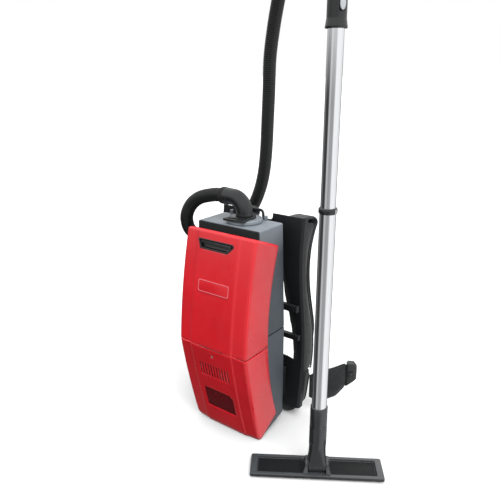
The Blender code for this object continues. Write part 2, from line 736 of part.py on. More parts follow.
def make_cable_gland():
    profile = [(0.0, 0.024), (0.0045, 0.024), (0.0050, 0.008), (0.0080, 0.006), (0.0085, 0.0), (0.0, 0.0)]
    turned("cable_gland", profile, (-HOUSING_HALF - GAP, 0.020, 0.125), SOFT_BLACK, 14, -X_AXIS, closed=False)


# ---------------------------------------------------------------- harness
def mirrored(outline):
    """A closed outline from its right half, which starts and ends on the middle line."""
    return outline + [(-u, v) for u, v in reversed(outline)]


def make_back_frame():
    """A rigid S-shaped panel with side flanges, a tall opening and two brackets to the housing."""
    rows = []
    levels = 14
    for i in range(levels):
        z = 0.030 + (0.578 - 0.030) * i / (levels - 1)
        y = frame_y(z)
        rows.append([(0.0, y, z), (0.045, y, z), (0.09, y, z), (FRAME_HALF - 0.006, y, z),
                     (FRAME_HALF, y + 0.005, z), (FRAME_HALF, y + FRAME_FLANGE, z)])
    panel = sheet("back_frame", rows, BLACK, FRAME_WALL)
    opening = mirrored([(0.0, 0.470), (0.064, 0.470), (0.078, 0.452), (0.098, 0.340), (0.113, 0.250),
                        (0.116, 0.182), (0.108, 0.166), (0.080, 0.172), (0.0, 0.176)])
    notch = [(-0.036, 0.60), (-0.036, 0.566), (-0.030, 0.561), (0.030, 0.561), (0.036, 0.566), (0.036, 0.60)]
    facing = Matrix.Translation((0.0, 0.10, 0.0)) @ facing_front()
    cut(panel, outline_plate("frame_opening", [opening], 0.08, None, facing))
    cut(panel, outline_plate("frame_notch", [notch], 0.08, None, facing))
    start = HOUSING_BACK_Y + GAP
    for width, height, z in ((0.110, 0.048, 0.520), (0.168, 0.090, 0.100)):
        end = min(frame_y(z - height / 2), frame_y(z + height / 2)) + 0.75 * FRAME_WALL
        bracket = box("bracket", (width, end - start, height), (0, (start + end) / 2, z), None)
        hollow = box("bracket_hollow", (width - 2 * FRAME_WALL, end - start - 3 * FRAME_WALL, height),
                     (0, (start + end) / 2 - FRAME_WALL / 2, z - FRAME_WALL), None)
        cut(bracket, hollow)
        join(panel, bracket)


def make_cross_bar(name, z, height):
    """A bar across the frame's opening, with two feet that hold the housing's back."""
    back = min(frame_y(z - height / 2), frame_y(z + height / 2)) - GAP
    bar = box(name, (0.246, 0.013, height), (0.0, back - 0.0065, z), BLACK)
    start = HOUSING_BACK_Y + GAP
    end = back - 0.012
    feet = many_boxes(name + "_feet", [((0.030, end - start, height - 0.004),
                                        (side * 0.060, (start + end) / 2, z)) for side in (-1, 1)])
    join(bar, feet)


def between(table, value):
    """Read a table of (value, result) pairs, with straight lines between its rows."""
    for (low, start), (high, end) in zip(table, table[1:]):
        if value <= high:
            return start + (end - start) * (value - low) / (high - low)
    return table[-1][1]


def padded_column(name, spans, side, front_gap):
    """A thick pad behind the frame that follows its S; spans are its (z, inner x, outer x) levels."""
    rings = []
    ease = 0.006
    for i, (z, half_in, half_out) in enumerate(spans):
        tuck = 0.006 if i in (0, len(spans) - 1) else 0.0
        y_low, y_high = frame_y(z) + front_gap + tuck / 2, pad_y(z) - tuck
        x_in, x_out = half_in + tuck / 2, half_out - tuck / 2
        plan = [(x_in + ease, y_low), (x_out - ease, y_low), (x_out, y_low + ease), (x_out, y_high - ease),
                (x_out - ease, y_high), (x_in + ease, y_high), (x_in, y_high - ease), (x_in, y_low + ease)]
        rings.append([(side * x, y, z) for x, y in plan])
    return loft(name, rings, FABRIC)


def make_pads():
    levels = [0.124 + 0.428 * i / 11 for i in range(12)]
    spans = [(z, between(PAD_HALF_IN, z), PAD_HALF_OUT) for z in levels]
    for side, word in ((-1, "left"), (1, "right")):
        padded_column("back_pad_" + word, spans, side, PAD_GAP)
    spans = [(z, -half, half) for z, half in LUMBAR_HALF]
    padded_column("lumbar_pad", spans, 1, PAD_GAP)


def ribbon(name, route, centre_x, width, thick, mat):
    """A flat band whose middle line runs through (y, z) points at a fixed x."""
    rings = []
    points = [Vector(p) for p in route]
    for i, point in enumerate(points):
        ahead = points[min(i + 1, len(points) - 1)] - points[max(i - 1, 0)]
        normal = Vector((-ahead.y, ahead.x)).normalized() * thick / 2
        ring = []
        for x, way in ((-1, -1), (1, -1), (1, 1), (-1, 1)):
            place = point + normal * way
            ring.append((centre_x + x * width / 2, place.x, place.y))
        rings.append(ring)
    return loft(name, rings, mat)


def strap_route():
    """The strap comes over the pad's top from the frame and lies down its back."""
    off = STRAP_THICK / 2 + 0.0028
    over = [(frame_y(0.57) + 0.0065, 0.5690), (0.114, 0.5680), (0.148, 0.5655), (0.1665, 0.5600),
            (0.1740, 0.5490)]
    down = [(pad_y(z) + off, z) for z in (0.535, 0.515, 0.490, 0.46, 0.43, 0.40, 0.36, 0.32, 0.28, 0.24, 0.21)]
    return over + down


def make_straps():
    for side, word in ((-1, "left"), (1, "right")):
        x = side * STRAP_X
        ribbon("shoulder_strap_" + word, strap_route(), x, STRAP_WIDTH, STRAP_THICK, FABRIC)
        y = pad_y(0.195) + 0.0085
        box("ladder_buckle_" + word, (0.034, 0.008, 0.022), (x, y, 0.1960), BLACK, 0.0015)
        tail = [(pad_y(z) + 0.004, z) for z in (0.184, 0.170, 0.155, 0.140, 0.126)]
        ribbon("strap_webbing_" + word, tail, x, WEBBING_WIDTH, WEBBING_THICK, FABRIC)


def wing_point(along, off, z, side):
    """A point on a hip-belt wing: along it in plan, off its middle surface towards the wearer."""
    run = (WING_TIP - WING_ROOT).normalized()
    normal = Vector((-run.y, run.x))
    sag = 0.010 * math.sin(math.pi * min(1.0, max(0.0, along / 0.127)))
    plan = WING_ROOT + run * along + normal * (off - sag)
    return (side * plan.x, plan.y, z)


def make_hip_belt():
    half = WING_THICK / 2
    for side, word in ((-1, "left"), (1, "right")):
        rings = []
        for along, low, high in WING_LEVELS:
            edge = 0.004
            section = [(-half, low + edge), (-half, high - edge), (-half + edge, high), (half - edge, high),
                       (half, high - edge), (half, low + edge), (half - edge, low), (-half + edge, low)]
            rings.append([wing_point(along, off, z, side) for off, z in section])
        loft("hip_belt_" + word, rings, FABRIC)
        web = [[wing_point(along, half + 0.001 + off, 0.108 + along * 0.12 + lift, side)
                for off, lift in ((0.0, -0.0125), (0.0016, -0.0125), (0.0016, 0.0125), (0.0, 0.0125))]
               for along in (0.0735, 0.081, 0.089, 0.096)]
        loft("belt_webbing_" + word, web, FABRIC)
    make_buckle("buckle_socket", 1, 0.017)
    make_buckle("buckle_plug", -1, 0.014)
    make_switch_pod()


def make_buckle(name, side, half_height):
    half = WING_THICK / 2
    rings = []
    for along, shrink in ((0.040, 0.003), (0.044, 0.0), (0.068, 0.0), (0.0728, 0.003)):
        low, high = 0.1165 - half_height + shrink, 0.112 + half_height - shrink
        section = ((half + 0.001, low), (half + 0.009 - shrink / 2, low), (half + 0.009 - shrink / 2, high),
                   (half + 0.001, high))
        rings.append([wing_point(along, off, z, side) for off, z in section])
    loft(name, rings, BLACK)


def make_switch_pod():
    """The box at the end of the right wing, with a rocker on its outer face."""
    rings = []
    for along, low, high, half in ((0.1005, 0.102, 0.168, 0.009), (0.104, 0.104, 0.172, 0.011),
                                   (0.120, 0.116, 0.170, 0.011), (0.129, 0.124, 0.158, 0.009)):
        section = ((-half, low), (half, low), (half, high), (-half, high))
        rings.append([wing_point(along, off, z, 1) for off, z in section])
    loft("switch_pod", rings, BLACK)
    corners = ((-0.006, -0.009), (0.006, -0.009), (0.006, 0.009), (-0.006, 0.009))
    faces = [[wing_point(SWITCH_ALONG + u, off, SWITCH_Z + v, 1) for u, v in corners]
             for off in (-0.0125, -0.0150)]
    rocker = loft("power_switch", faces, BLACK)
    set_origin(rocker, wing_point(SWITCH_ALONG, -0.01375, SWITCH_Z, 1))


# ---------------------------------------------------------------- hose
def grip_point(along):
    """A point on the grip's middle line: upright, then round the bend, then straight on."""
    base = Vector((WAND_X, WAND_Y, 0.0))
    straight = GRIP_TURN_Z - GRIP_BASE_Z
    bend = GRIP_BEND * GRIP_LEAN
    if along <= straight:
        return base + Z_AXIS * (GRIP_BASE_Z + along)
    angle = min(1.0, (along - straight) / bend) * GRIP_LEAN
    point = base + GRIP_HEADING * (GRIP_BEND * (1 - math.cos(angle)))
    point += Z_AXIS * (GRIP_TURN_Z + GRIP_BEND * math.sin(angle))
    return point + grip_direction() * max(0.0, along - straight - bend)


def grip_direction():
    return GRIP_HEADING * math.sin(GRIP_LEAN) + Z_AXIS * math.cos(GRIP_LEAN)


def hose_route():
    """By hand: over the left side of the unit, round behind it, up, and over to the wand's grip."""
    end = grip_point(GRIP_LENGTH) + grip_direction() * 0.0506
    straight = 0.006
    middle = [HOSE_START - X_AXIS * straight, (-0.095, 0.002, 0.6240), (-0.139, 0.003, 0.6105),
              (-0.173, 0.004, 0.5855), (-0.194, 0.008, 0.5490), (-0.205, 0.030, 0.5080), (-0.208, 0.068, 0.4820),
              (-0.201, 0.115, 0.4720), (-0.182, 0.162, 0.4800), (-0.152, 0.196, 0.5060),
              (-0.120, 0.208, 0.5480), (-0.095, 0.208, 0.5980), (-0.078, 0.206, 0.6550),
              (-0.069, 0.204, 0.7200), (-0.064, 0.202, 0.8000), (-0.060, 0.201, 0.8800),
              (-0.057, 0.200, 0.9600), (-0.044, 0.198, 1.0400), (-0.024, 0.192, 1.1150),
              (0.002, 0.172, 1.1850), (0.036, 0.140, 1.2360), (0.076, 0.098, 1.2640),
              (0.110, 0.058, 1.2640), end + grip_direction() * straight * 3, end + grip_direction() * straight]
    return [HOSE_START] + smooth_route(middle, 3) + [end]


def make_hose():
    curve_object("hose", hose_route(), HOSE_RADIUS, SOFT_BLACK, 2)
    profile = [(0.0, 0.0155), (0.0205, 0.0155), (0.0215, 0.013), (0.0215, 0.003), (0.0205, 0.0), (0.0, 0.0)]
    turned("inlet_cuff", profile, (CUFF_X, BOSS_CENTRE_Y, ELBOW_TOP_Z), SOFT_BLACK, 20, -X_AXIS, closed=False)


# ---------------------------------------------------------------- wand
def upright_tube(name, radius, span, mat, sides=24):
    low, high = span
    height = high - low
    bore = radius - TUBE_WALL
    return turned(name, [(bore, height), (radius, height), (radius, 0.0), (bore, 0.0)],
                  (WAND_X, WAND_Y, low), mat, sides)


def make_grip():
    """A bent grip with a wide rim at its foot; the upper tube is pushed into it."""
    count = 16
    route = [grip_point(GRIP_LENGTH * i / count) for i in range(count + 1)]
    grip = as_mesh(curve_object("hand_grip", route, GRIP_RADIUS, BLACK, 4))
    set_origin(grip, (WAND_X, WAND_Y, GRIP_BASE_Z))
    rim = turned("grip_rim", [(0.0, 0.018), (0.0180, 0.018), (0.0212, 0.004), (0.0212, 0.0), (0.0, 0.0)],
                 (WAND_X, WAND_Y, GRIP_BASE_Z - 0.002), None, 24, closed=False)
    rim.matrix_world @= Matrix.Rotation(math.radians(4.0), 4, "Z")      # its facets cross the bore's
    bore = cylinder("grip_bore", UPPER_TUBE_RADIUS + GAP, (WAND_X, WAND_Y, GRIP_BASE_Z - 0.01),
                    (WAND_X, WAND_Y, UPPER_TUBE_SPAN[1] + 0.001), None, 24)
    seat = button_place()
    well = box("button_well", (0.0040, 0.0125, 0.0265), (0, 0, 0), None)
    well.matrix_world = seat
    cut(grip, well)
    join(grip, rim)
    cut(grip, bore)
    make_release_button(seat)
    make_air_slider()
    profile = [(0.0, 0.0500), (0.0190, 0.0500), (0.0200, 0.047), (0.0205, 0.036), (0.0225, 0.030),
               (0.0225, 0.004), (0.0215, 0.0), (0.0, 0.0)]
    foot = grip_point(GRIP_LENGTH) + grip_direction() * GAP
    turned("handle_cuff", profile, foot, SOFT_BLACK, 20, grip_direction(), closed=False)


def button_place():
    """On the grip's outer side, with local X pointing out of the grip."""
    turn = Matrix.Rotation(BUTTON_YAW, 4, "Z")
    out = turn.to_3x3() @ X_AXIS
    place = turn.copy()
    place.translation = Vector((WAND_X, WAND_Y, BUTTON_Z)) + out * (GRIP_RADIUS - 0.0004)
    return place


def make_release_button(seat):
    oval = [(u, v * 2.1) for u, v in arc_points((0.0, 0.0), 0.0058, 0, 337.5, 15)]
    standing = Matrix.Rotation(math.radians(90.0), 4, "Z") @ Matrix.Rotation(math.radians(90.0), 4, "X")
    button = outline_plate("release_button", [oval], 0.0034, PALE,
                           seat @ Matrix.Translation((0.0016, 0.0, 0.0)) @ standing)
    set_origin(button, seat.translation)


def make_air_slider():
    """A sleeve that slides along the grip's straight end over the air hole."""
    start = GRIP_LENGTH - 0.058
    foot = grip_point(start)
    inner, outer, height = GRIP_RADIUS + 0.0005, GRIP_RADIUS + 0.0030, 0.022
    turned("air_slider", [(inner, height), (outer, height), (outer, 0.0), (inner, 0.0)], foot, PALE, 20,
           grip_direction())


def make_wand_tubes():
    upright_tube("upper_tube", UPPER_TUBE_RADIUS, UPPER_TUBE_SPAN, CHROME)
    upright_tube("lower_tube", LOWER_TUBE_RADIUS, LOWER_TUBE_SPAN, CHROME)
    low, high = COLLAR_SPAN
    height = high - low
    bore = UPPER_TUBE_RADIUS + GAP
    turned("tube_collar", [(bore, height), (0.0185, height), (0.0198, height - 0.003), (0.0198, 0.002),
                           (0.0190, 0.0), (bore, 0.0)], (WAND_X, WAND_Y, low), BLACK, 24)


# ---------------------------------------------------------------- floor tool
def tool_frame():
    place = Matrix.Rotation(TOOL_YAW, 4, "Z")
    place.translation = Vector((WAND_X, WAND_Y, 0.0))
    return place


def make_tool_neck():
    """A sleeve for the lower tube above a hub that turns between the tool's ears."""
    low, high = SLEEVE_SPAN
    height = high - low
    bore = LOWER_TUBE_RADIUS + GAP
    floor = 0.026
    sleeve = turned("tool_neck", [(0.0, floor), (bore, floor), (bore, height), (SLEEVE_RADIUS, height),
                                  (SLEEVE_RADIUS, 0.0), (0.012, -0.012), (0.0, -0.012)],
                    (WAND_X, WAND_Y, low), TOOL_GREY, 24, closed=False)
    place = tool_frame()
    stem_low, stem_high = TOOL_PIVOT_Z, low + 0.010
    rings = []
    for z, half_a, half_b in ((stem_low, HUB_HALF - 0.001, 0.016), (stem_high - 0.010, 0.0185, 0.0165),
                              (stem_high, 0.0150, 0.0150)):
        rings.append([place @ Vector((a, b, z)) for a, b in rounded_rectangle(half_a, half_b, 0.006)])
    join(sleeve, loft("neck_stem", rings, None))
    join(sleeve, cylinder("neck_hub", HUB_RADIUS, place @ Vector((-HUB_HALF, 0, TOOL_PIVOT_Z)),
                          place @ Vector((HUB_HALF, 0, TOOL_PIVOT_Z)), None, 24))
    cut(sleeve, cylinder("hub_bore", 0.0034, place @ Vector((-0.03, 0, TOOL_PIVOT_Z)),
                         place @ Vector((0.03, 0, TOOL_PIVOT_Z)), None, 10))


def make_floor_tool():
    """A long low body with a channel on each side of the neck and two ears that carry the pivot."""
    place = tool_frame()
    height = TOOL_TOP_Z - TOOL_BASE_Z
    body = box("floor_tool", (TOOL_LENGTH, TOOL_DEPTH, height), (0, 0, TOOL_BASE_Z + height / 2), TOOL_GREY)
    body.matrix_world = place @ Matrix.Translation((0.0, TOOL_SHIFT, 0.0))
    round_edges(body, 0.0025)
    ears = many_boxes("tool_ears", [((0.007, 0.036, 0.034), (side * 0.0255, 0.0, TOOL_PIVOT_Z - 0.004))
                                    for side in (-1, 1)])
    ears.matrix_world = place
    join(body, ears)
    inner, outer = 0.034, TOOL_LENGTH / 2 - 0.016
    middle, floor = (inner + outer) / 2, TOOL_BASE_Z + 0.0042
    hollows = [((outer - inner, TOOL_DEPTH - 0.020, 0.020), (side * middle, TOOL_SHIFT, floor + 0.010))
               for side in (-1, 1)]
    channels = many_boxes("tool_channels", hollows)
    channels.matrix_world = place
    cut(body, channels)
    seat = cylinder("hub_seat", HUB_RADIUS + 0.0008, place @ Vector((-HUB_HALF - 0.0006, 0, TOOL_PIVOT_Z)),
                    place @ Vector((HUB_HALF + 0.0006, 0, TOOL_PIVOT_Z)), None, 24)
    cut(body, seat)
    for size in ((0.030, 0.012, 0.030), (0.250, 0.010, 0.006)):
        mouth = box("tool_mouth", size, (0.0, 0.0, 0.0035), None)
        mouth.matrix_world = place
        cut(body, mouth)
    cut(body, cylinder("pivot_bore", 0.0034, place @ Vector((-0.04, 0, TOOL_PIVOT_Z)),
                       place @ Vector((0.04, 0, TOOL_PIVOT_Z)), None, 10))
    pin = cylinder("tool_pivot_pin", 0.0030, place @ Vector((-0.0285, 0, TOOL_PIVOT_Z)),
                   place @ Vector((0.0285, 0, TOOL_PIVOT_Z)), STEEL, 10)
    brush = make_brush_strip(place)
    for piece in (body, pin, brush):
        set_origin(piece, (WAND_X, WAND_Y, TOOL_PIVOT_Z))


def make_brush_strip(place):
    """A ring of short bristles round the mouth, which the tool rides on."""
    edge = rounded_rectangle(TOOL_LENGTH / 2 - 0.006, TOOL_DEPTH / 2 - 0.006, 0.004, 1)
    hole = rounded_rectangle(TOOL_LENGTH / 2 - 0.014, TOOL_DEPTH / 2 - 0.014, 0.003, 1)
    thick = TOOL_BASE_Z - GAP
    lying = place @ Matrix.Translation((0.0, TOOL_SHIFT, thick / 2))
    return outline_plate("brush_strip", [edge, hole], thick, SOFT_BLACK, lying)


# ---------------------------------------------------------------- assembly
def build():
    make_upper_housing()
    make_lower_housing()
    make_cover_gasket()
    make_upper_cover()
    make_lower_cover()
    make_exhaust_grille()
    make_screw("cover_screw", SCREW_Z, -0.0010)
    make_hinge_pin()
    make_latch()
    make_badge()
    make_inlet()
    make_locking_ring()
    make_bag()
    make_carry_handle()
    make_motor()
    make_cable_gland()
    make_back_frame()
    make_cross_bar("upper_cross_bar", 0.331, 0.018)
    make_cross_bar("lower_cross_bar", 0.243, 0.014)
    make_pads()
    make_straps()
    make_hip_belt()
    make_hose()
    make_grip()
    make_wand_tubes()
    make_tool_neck()
    make_floor_tool()


def place_all():
    """Parent every piece and cutter to one empty, and move that to the object's own origin."""
    root = bpy.data.objects.new("unit_frame", None)
    PARTS.objects.link(root)
    for collection in (PARTS, CUTTERS):
        for obj in collection.objects:
            if obj is root:
                continue
            smooth_shade(obj)
            obj.parent = root
    root.location = UNIT_PLACE


build()
place_all()
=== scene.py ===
"""Looks of the backpack vacuum cleaner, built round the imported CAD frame.

Everything is in metres. X is to the unit's right, Y to its back and Z up. All shapes are laid out about the
middle of the unit, as in the CAD, and add() and carve() then move them by PLACE into the frame.
"""
import json
import math

import bmesh
import bpy
import numpy as np
from mathutils import Matrix, Vector

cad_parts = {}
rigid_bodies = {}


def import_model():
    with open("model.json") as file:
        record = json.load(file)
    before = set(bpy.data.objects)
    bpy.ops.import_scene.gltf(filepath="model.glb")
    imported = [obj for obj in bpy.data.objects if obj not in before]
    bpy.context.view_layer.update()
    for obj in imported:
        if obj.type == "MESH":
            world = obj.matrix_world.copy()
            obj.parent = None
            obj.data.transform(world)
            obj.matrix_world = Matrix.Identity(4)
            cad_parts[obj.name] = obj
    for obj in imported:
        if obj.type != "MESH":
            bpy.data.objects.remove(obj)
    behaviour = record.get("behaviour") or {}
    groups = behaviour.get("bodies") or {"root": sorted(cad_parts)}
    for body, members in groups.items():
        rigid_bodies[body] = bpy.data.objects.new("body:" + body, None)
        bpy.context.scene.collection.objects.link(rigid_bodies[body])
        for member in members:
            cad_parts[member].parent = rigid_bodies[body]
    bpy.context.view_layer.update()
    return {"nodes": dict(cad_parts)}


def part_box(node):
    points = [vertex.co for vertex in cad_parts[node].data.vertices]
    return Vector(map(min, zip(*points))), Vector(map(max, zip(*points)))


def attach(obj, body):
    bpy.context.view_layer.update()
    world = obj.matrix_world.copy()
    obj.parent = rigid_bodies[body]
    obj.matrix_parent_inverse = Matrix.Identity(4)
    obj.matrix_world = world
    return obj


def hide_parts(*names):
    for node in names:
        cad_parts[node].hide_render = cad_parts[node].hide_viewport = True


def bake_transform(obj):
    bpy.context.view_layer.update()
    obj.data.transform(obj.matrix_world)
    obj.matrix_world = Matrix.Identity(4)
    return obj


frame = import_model()


# ---------------------------------------------------------------- places read from the frame
def span(node):
    """A CAD node's lowest and highest corners about the unit's middle."""
    low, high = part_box(node)
    return low - PLACE, high - PLACE


def low_high(node):
    low, high = span(node)
    return low.z, high.z


INLET_X = 0.01                           # the inlet's centre, a little right of and behind the middle
BOSS_Y = 0.002
_low, _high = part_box("inlet_boss")
PLACE = Vector(((_low.x + _high.x) / 2 - INLET_X, (_low.y + _high.y) / 2 - BOSS_Y, 0.0))

X_AXIS = Vector((1.0, 0.0, 0.0))
Y_AXIS = Vector((0.0, 1.0, 0.0))
Z_AXIS = Vector((0.0, 0.0, 1.0))
GAP = 0.0003

# covers
COVER_HALF = span("upper_cover")[1].x
COVER_PEAK_Y = span("upper_cover")[0].y
COVER_SPLIT_Z = 0.2645
COVER_TOP_Z = 0.545
COVER_LIP_Z = 0.5582
COVER_SLANT = 0.388
COVER_SHELL = 0.003
COVER_CORNER = 0.008
CREASE_X = 0.064
CREASE_DEPTH = 0.0014
CREASE_WIDTH = 0.004
REAR_EDGE = (-0.031, 0.287, 0.683)        # y, z and radius of the rear edge's arc
HINGE_Y = COVER_PEAK_Y + 0.0018
LATCH_Z = 0.5255
BADGE_Z = 0.424
SCREW_Z = 0.241
SLOT_Z = 0.194
SHOULDER = 0.0035                         # how far the front falls back from the crease to the corner
GRILLE_Z = 0.099

# housings and inlet
HOUSING_BACK_Y = span("upper_housing")[1].y
HOUSING_RIM_Y = -0.05
HOUSING_HALF = span("lower_housing")[1].x
HOUSING_TOP_HALF = 0.0945
HOUSING_SPLIT_Z = 0.29
HOUSING_TOP_Z = 0.57
GLAND_YZ = (0.02, 0.125)
BOSS_RADIUS = (_high.x - _low.x) / 2
BOSS_TOP_Z = _high.z
ELBOW_Z = 0.628
ELBOW_RADIUS = 0.0213
ELBOW_BEND = 0.036
CUFF_X = span("inlet_cuff")[1].x

# carry handle
HANDLE_X = -0.01                         # a little left of the middle
HANDLE_Y = 0.0455
HANDLE_HALF = 0.046
HANDLE_PIVOT_Z = 0.5765

# wand
_low, _high = span("upper_tube")
WAND_X, WAND_Y = (_low.x + _high.x) / 2, (_low.y + _high.y) / 2



def on_wand(z):
    return Vector((WAND_X, WAND_Y, z))


LOWER_TUBE = 0.0175
UPPER_TUBE = 0.016
TUBE_BORE = 0.0163                        # inside the collar and the grip, round the upper tube
GRIP_BASE_Z = 1.006
GRIP_TURN_Z = 1.085
GRIP_BEND = 0.09
GRIP_LEAN = math.radians(55.0)
GRIP_LENGTH = 0.235
GRIP_RADIUS = 0.019
GRIP_HEADING = Vector((-0.857, 0.515, 0.0))
BUTTON_YAW = math.radians(-30.0)
BUTTON_Z = 1.046
TOOL_YAW = math.radians(33.3)
TOOL_PIVOT_Z = 0.029
TOOL_SHIFT = 0.008
TOOL_LENGTH = 0.32
TOOL_DEPTH = 0.075
TOOL_BASE_Z = 0.004
TOOL_TOP_Z = 0.0125

# hose
HOSE_RADIUS = 0.0178
HOSE_PITCH = 0.0046
HOSE_RIB = 0.0011

# pairs and soft pieces
SIDES = ((-1, "left"), (1, "right"))
STITCH_PITCH = 0.0042
PUFF_FRAMES = 18
PUFF_PRESSURE = 4.0


# ---------------------------------------------------------------- node helpers for materials and the world
class Nodes:
    """A node tree under construction."""

    def __init__(self, tree):
        self.tree = tree

    def node(self, kind, **inputs):
        made = self.tree.nodes.new(kind)
        for key, value in inputs.items():
            self.put(made.inputs[key.replace("_", " ")], value)
        return made

    def put(self, socket, value):
        if isinstance(value, bpy.types.NodeSocket):
            self.tree.links.new(value, socket)
        else:
            socket.default_value = value

    def blend(self, factor, low, high):
        """A colour between two, by a factor from 0 to 1."""
        made = self.node("ShaderNodeMix")
        made.data_type = "RGBA"
        self.put(made.inputs["Factor"], factor)
        for socket, colour in ((made.inputs[6], low), (made.inputs[7], high)):
            self.put(socket, colour if isinstance(colour, bpy.types.NodeSocket) else (*colour, 1.0))
        return made.outputs[2]

    def spread(self, value, low, high, start=0.3, end=0.7):
        """Map a stretch of a value, by default the middle of a noise, to a range of numbers."""
        made = self.node("ShaderNodeMapRange", Value=value)
        for key, number in (("From Min", start), ("From Max", end), ("To Min", low), ("To Max", high)):
            made.inputs[key].default_value = number
        return made.outputs["Result"]

    def math(self, operation, a, b):
        made = self.node("ShaderNodeMath")
        made.operation = operation
        self.put(made.inputs[0], a)
        self.put(made.inputs[1], b)
        return made.outputs["Value"]


class Material(Nodes):
    """A material under construction: its nodes, its shader and its object coordinates."""

    def __init__(self, name, roughness, metallic=0.0):
        self.mat = bpy.data.materials.new(name)
        self.mat.use_nodes = True
        super().__init__(self.mat.node_tree)
        self.shader = self.tree.nodes["Principled BSDF"]
        self.shader.inputs["Roughness"].default_value = roughness
        self.shader.inputs["Metallic"].default_value = metallic
        self.where = self.node("ShaderNodeTexCoord").outputs["Object"]

    def stretched(self, scale):
        """Object coordinates scaled by a different amount along each axis."""
        return self.node("ShaderNodeMapping", Vector=self.where, Scale=scale).outputs["Vector"]

    def noise(self, scale, detail, vector=None):
        made = self.node("ShaderNodeTexNoise", Vector=vector or self.where, Scale=scale, Detail=detail)
        return made.outputs["Fac"]

    def cells(self, scale):
        return self.node("ShaderNodeTexVoronoi", Vector=self.where, Scale=scale).outputs["Distance"]

    def bands(self, scale, direction):
        made = self.node("ShaderNodeTexWave", Vector=self.where, Scale=scale)
        made.bands_direction = direction
        return made.outputs["Fac"]

    def bump(self, height, distance, strength=1.0, below=None):
        made = self.node("ShaderNodeBump", Height=height, Distance=distance, Strength=strength)
        if below is not None:
            self.tree.links.new(below, made.inputs["Normal"])
        return made.outputs["Normal"]

    def edges(self):
        """1 on convex edges, 0 elsewhere."""
        return self.spread(self.node("ShaderNodeNewGeometry").outputs["Pointiness"], 0.0, 1.0, 0.53, 0.62)

    def facing_up(self):
        """1 on faces that look straight up, 0 on upright ones."""
        normal = self.node("ShaderNodeNewGeometry").outputs["Normal"]
        up = self.node("ShaderNodeSeparateXYZ", Vector=normal).outputs["Z"]
        return self.spread(up, 0.0, 1.0, 0.35, 0.95)

    def painted_top_light_mask(self):
        """Painted top light: rises from 0 to most of 1 over the last part of the housing's height."""
        height = self.node("ShaderNodeSeparateXYZ", Vector=self.where).outputs["Z"]
        return self.spread(height, 0.0, 0.8, 0.495, 0.57)

    def colour(self, value):
        self.put(self.shader.inputs["Base Color"], value)

    def rough(self, value):
        self.put(self.shader.inputs["Roughness"], value)

    def normal(self, value):
        self.put(self.shader.inputs["Normal"], value)


def tinted(colour, factor):
    return tuple(min(1.0, channel * factor) for channel in colour)


def moulded(name, colour, roughness, grain, depth, wear, shine=0.5, upper_colour=None, paint_light_at_top=False):
    """Moulded plastic: cloudy colour, a fine moulded grain, uneven gloss and paler rubbed edges.

    With an upper colour, the faces that look up take it in patches; with the top light painted, the housing's
    upper end takes it instead, a painted top light.
    """
    m = Material(name, roughness)
    body = m.blend(m.spread(m.noise(9.0, 4.0), 0.0, 1.0), tinted(colour, 0.92), tinted(colour, 1.07))
    scuffs = m.math("MULTIPLY", m.edges(), m.spread(m.noise(160.0, 5.0), 0.0, wear, 0.4, 0.7))
    pale = tuple(channel * 0.7 + 0.1 for channel in colour)
    body = m.blend(scuffs, body, pale)
    # paler in patches on faces that look up; on the grey housing, paler towards its upper end, which is
    # painted top light
    if upper_colour:
        patchy = m.spread(m.noise(30.0, 6.0), 0.85, 1.0)
        body = m.blend(m.math("MULTIPLY", m.painted_top_light_mask() if paint_light_at_top else m.facing_up(), patchy), body, upper_colour)
    m.colour(body)
    m.rough(m.spread(m.noise(38.0, 5.0), roughness - 0.06, roughness + 0.06, 0.25, 0.75))
    fine = m.bump(m.noise(grain, 2.0), depth)
    m.normal(m.bump(m.noise(12.0, 2.0), 0.0003, 0.4, below=fine))
    m.shader.inputs["Specular IOR Level"].default_value = shine
    return m.mat


def woven(name, colour, scale, depth, sheen=0.25):
    """Woven cloth that needs no UVs: crossed bands along all three axes, with fuzz and faded patches."""
    m = Material(name, 0.88)
    crossed = m.math("MULTIPLY", m.bands(scale, "X"), m.bands(scale, "Z"))
    crossed = m.math("ADD", crossed, m.math("MULTIPLY", m.bands(scale, "Y"), m.bands(scale, "Z")))
    body = m.blend(m.spread(m.noise(26.0, 5.0), 0.0, 1.0), tinted(colour, 0.75), tinted(colour, 1.25))
    m.colour(m.blend(m.spread(crossed, 0.0, 0.5, 0.0, 1.4), body, tinted(colour, 1.9)))
    m.rough(m.spread(m.noise(60.0, 3.0), 0.8, 0.96))
    fuzz = m.bump(m.noise(1400.0, 2.0), depth * 0.5)
    m.normal(m.bump(crossed, depth, below=fuzz))
    m.shader.inputs["Sheen Weight"].default_value = sheen
    m.shader.inputs["Sheen Roughness"].default_value = 0.4
    return m.mat


def mesh_cloth(name, colour):
    """Open spacer mesh for the side that lies on the wearer."""
    m = Material(name, 0.9)
    holes = m.cells(330.0)
    body = m.blend(m.spread(m.noise(30.0, 4.0), 0.0, 1.0), tinted(colour, 0.8), tinted(colour, 1.2))
    m.colour(m.blend(m.spread(holes, 0.0, 0.8, 0.25, 0.6), body, tinted(colour, 0.25)))
    m.rough(m.spread(m.noise(80.0, 3.0), 0.82, 0.95))
    m.normal(m.bump(holes, 0.0006, 0.8))
    m.shader.inputs["Sheen Weight"].default_value = 0.2
    return m.mat


def plated(name, colour, roughness, streak=(60.0, 60.0, 1.5)):
    """Plated or drawn metal with fine streaks along the tube."""
    m = Material(name, roughness, metallic=1.0)
    streaks = m.noise(14.0, 4.0, m.stretched(streak))
    m.colour(m.blend(m.spread(streaks, 0.0, 1.0), tinted(colour, 0.94), tinted(colour, 1.04)))
    m.rough(m.spread(m.noise(20.0, 5.0), roughness * 0.7, roughness * 1.5))
    m.normal(m.bump(streaks, 0.00004, 0.4))
    return m.mat


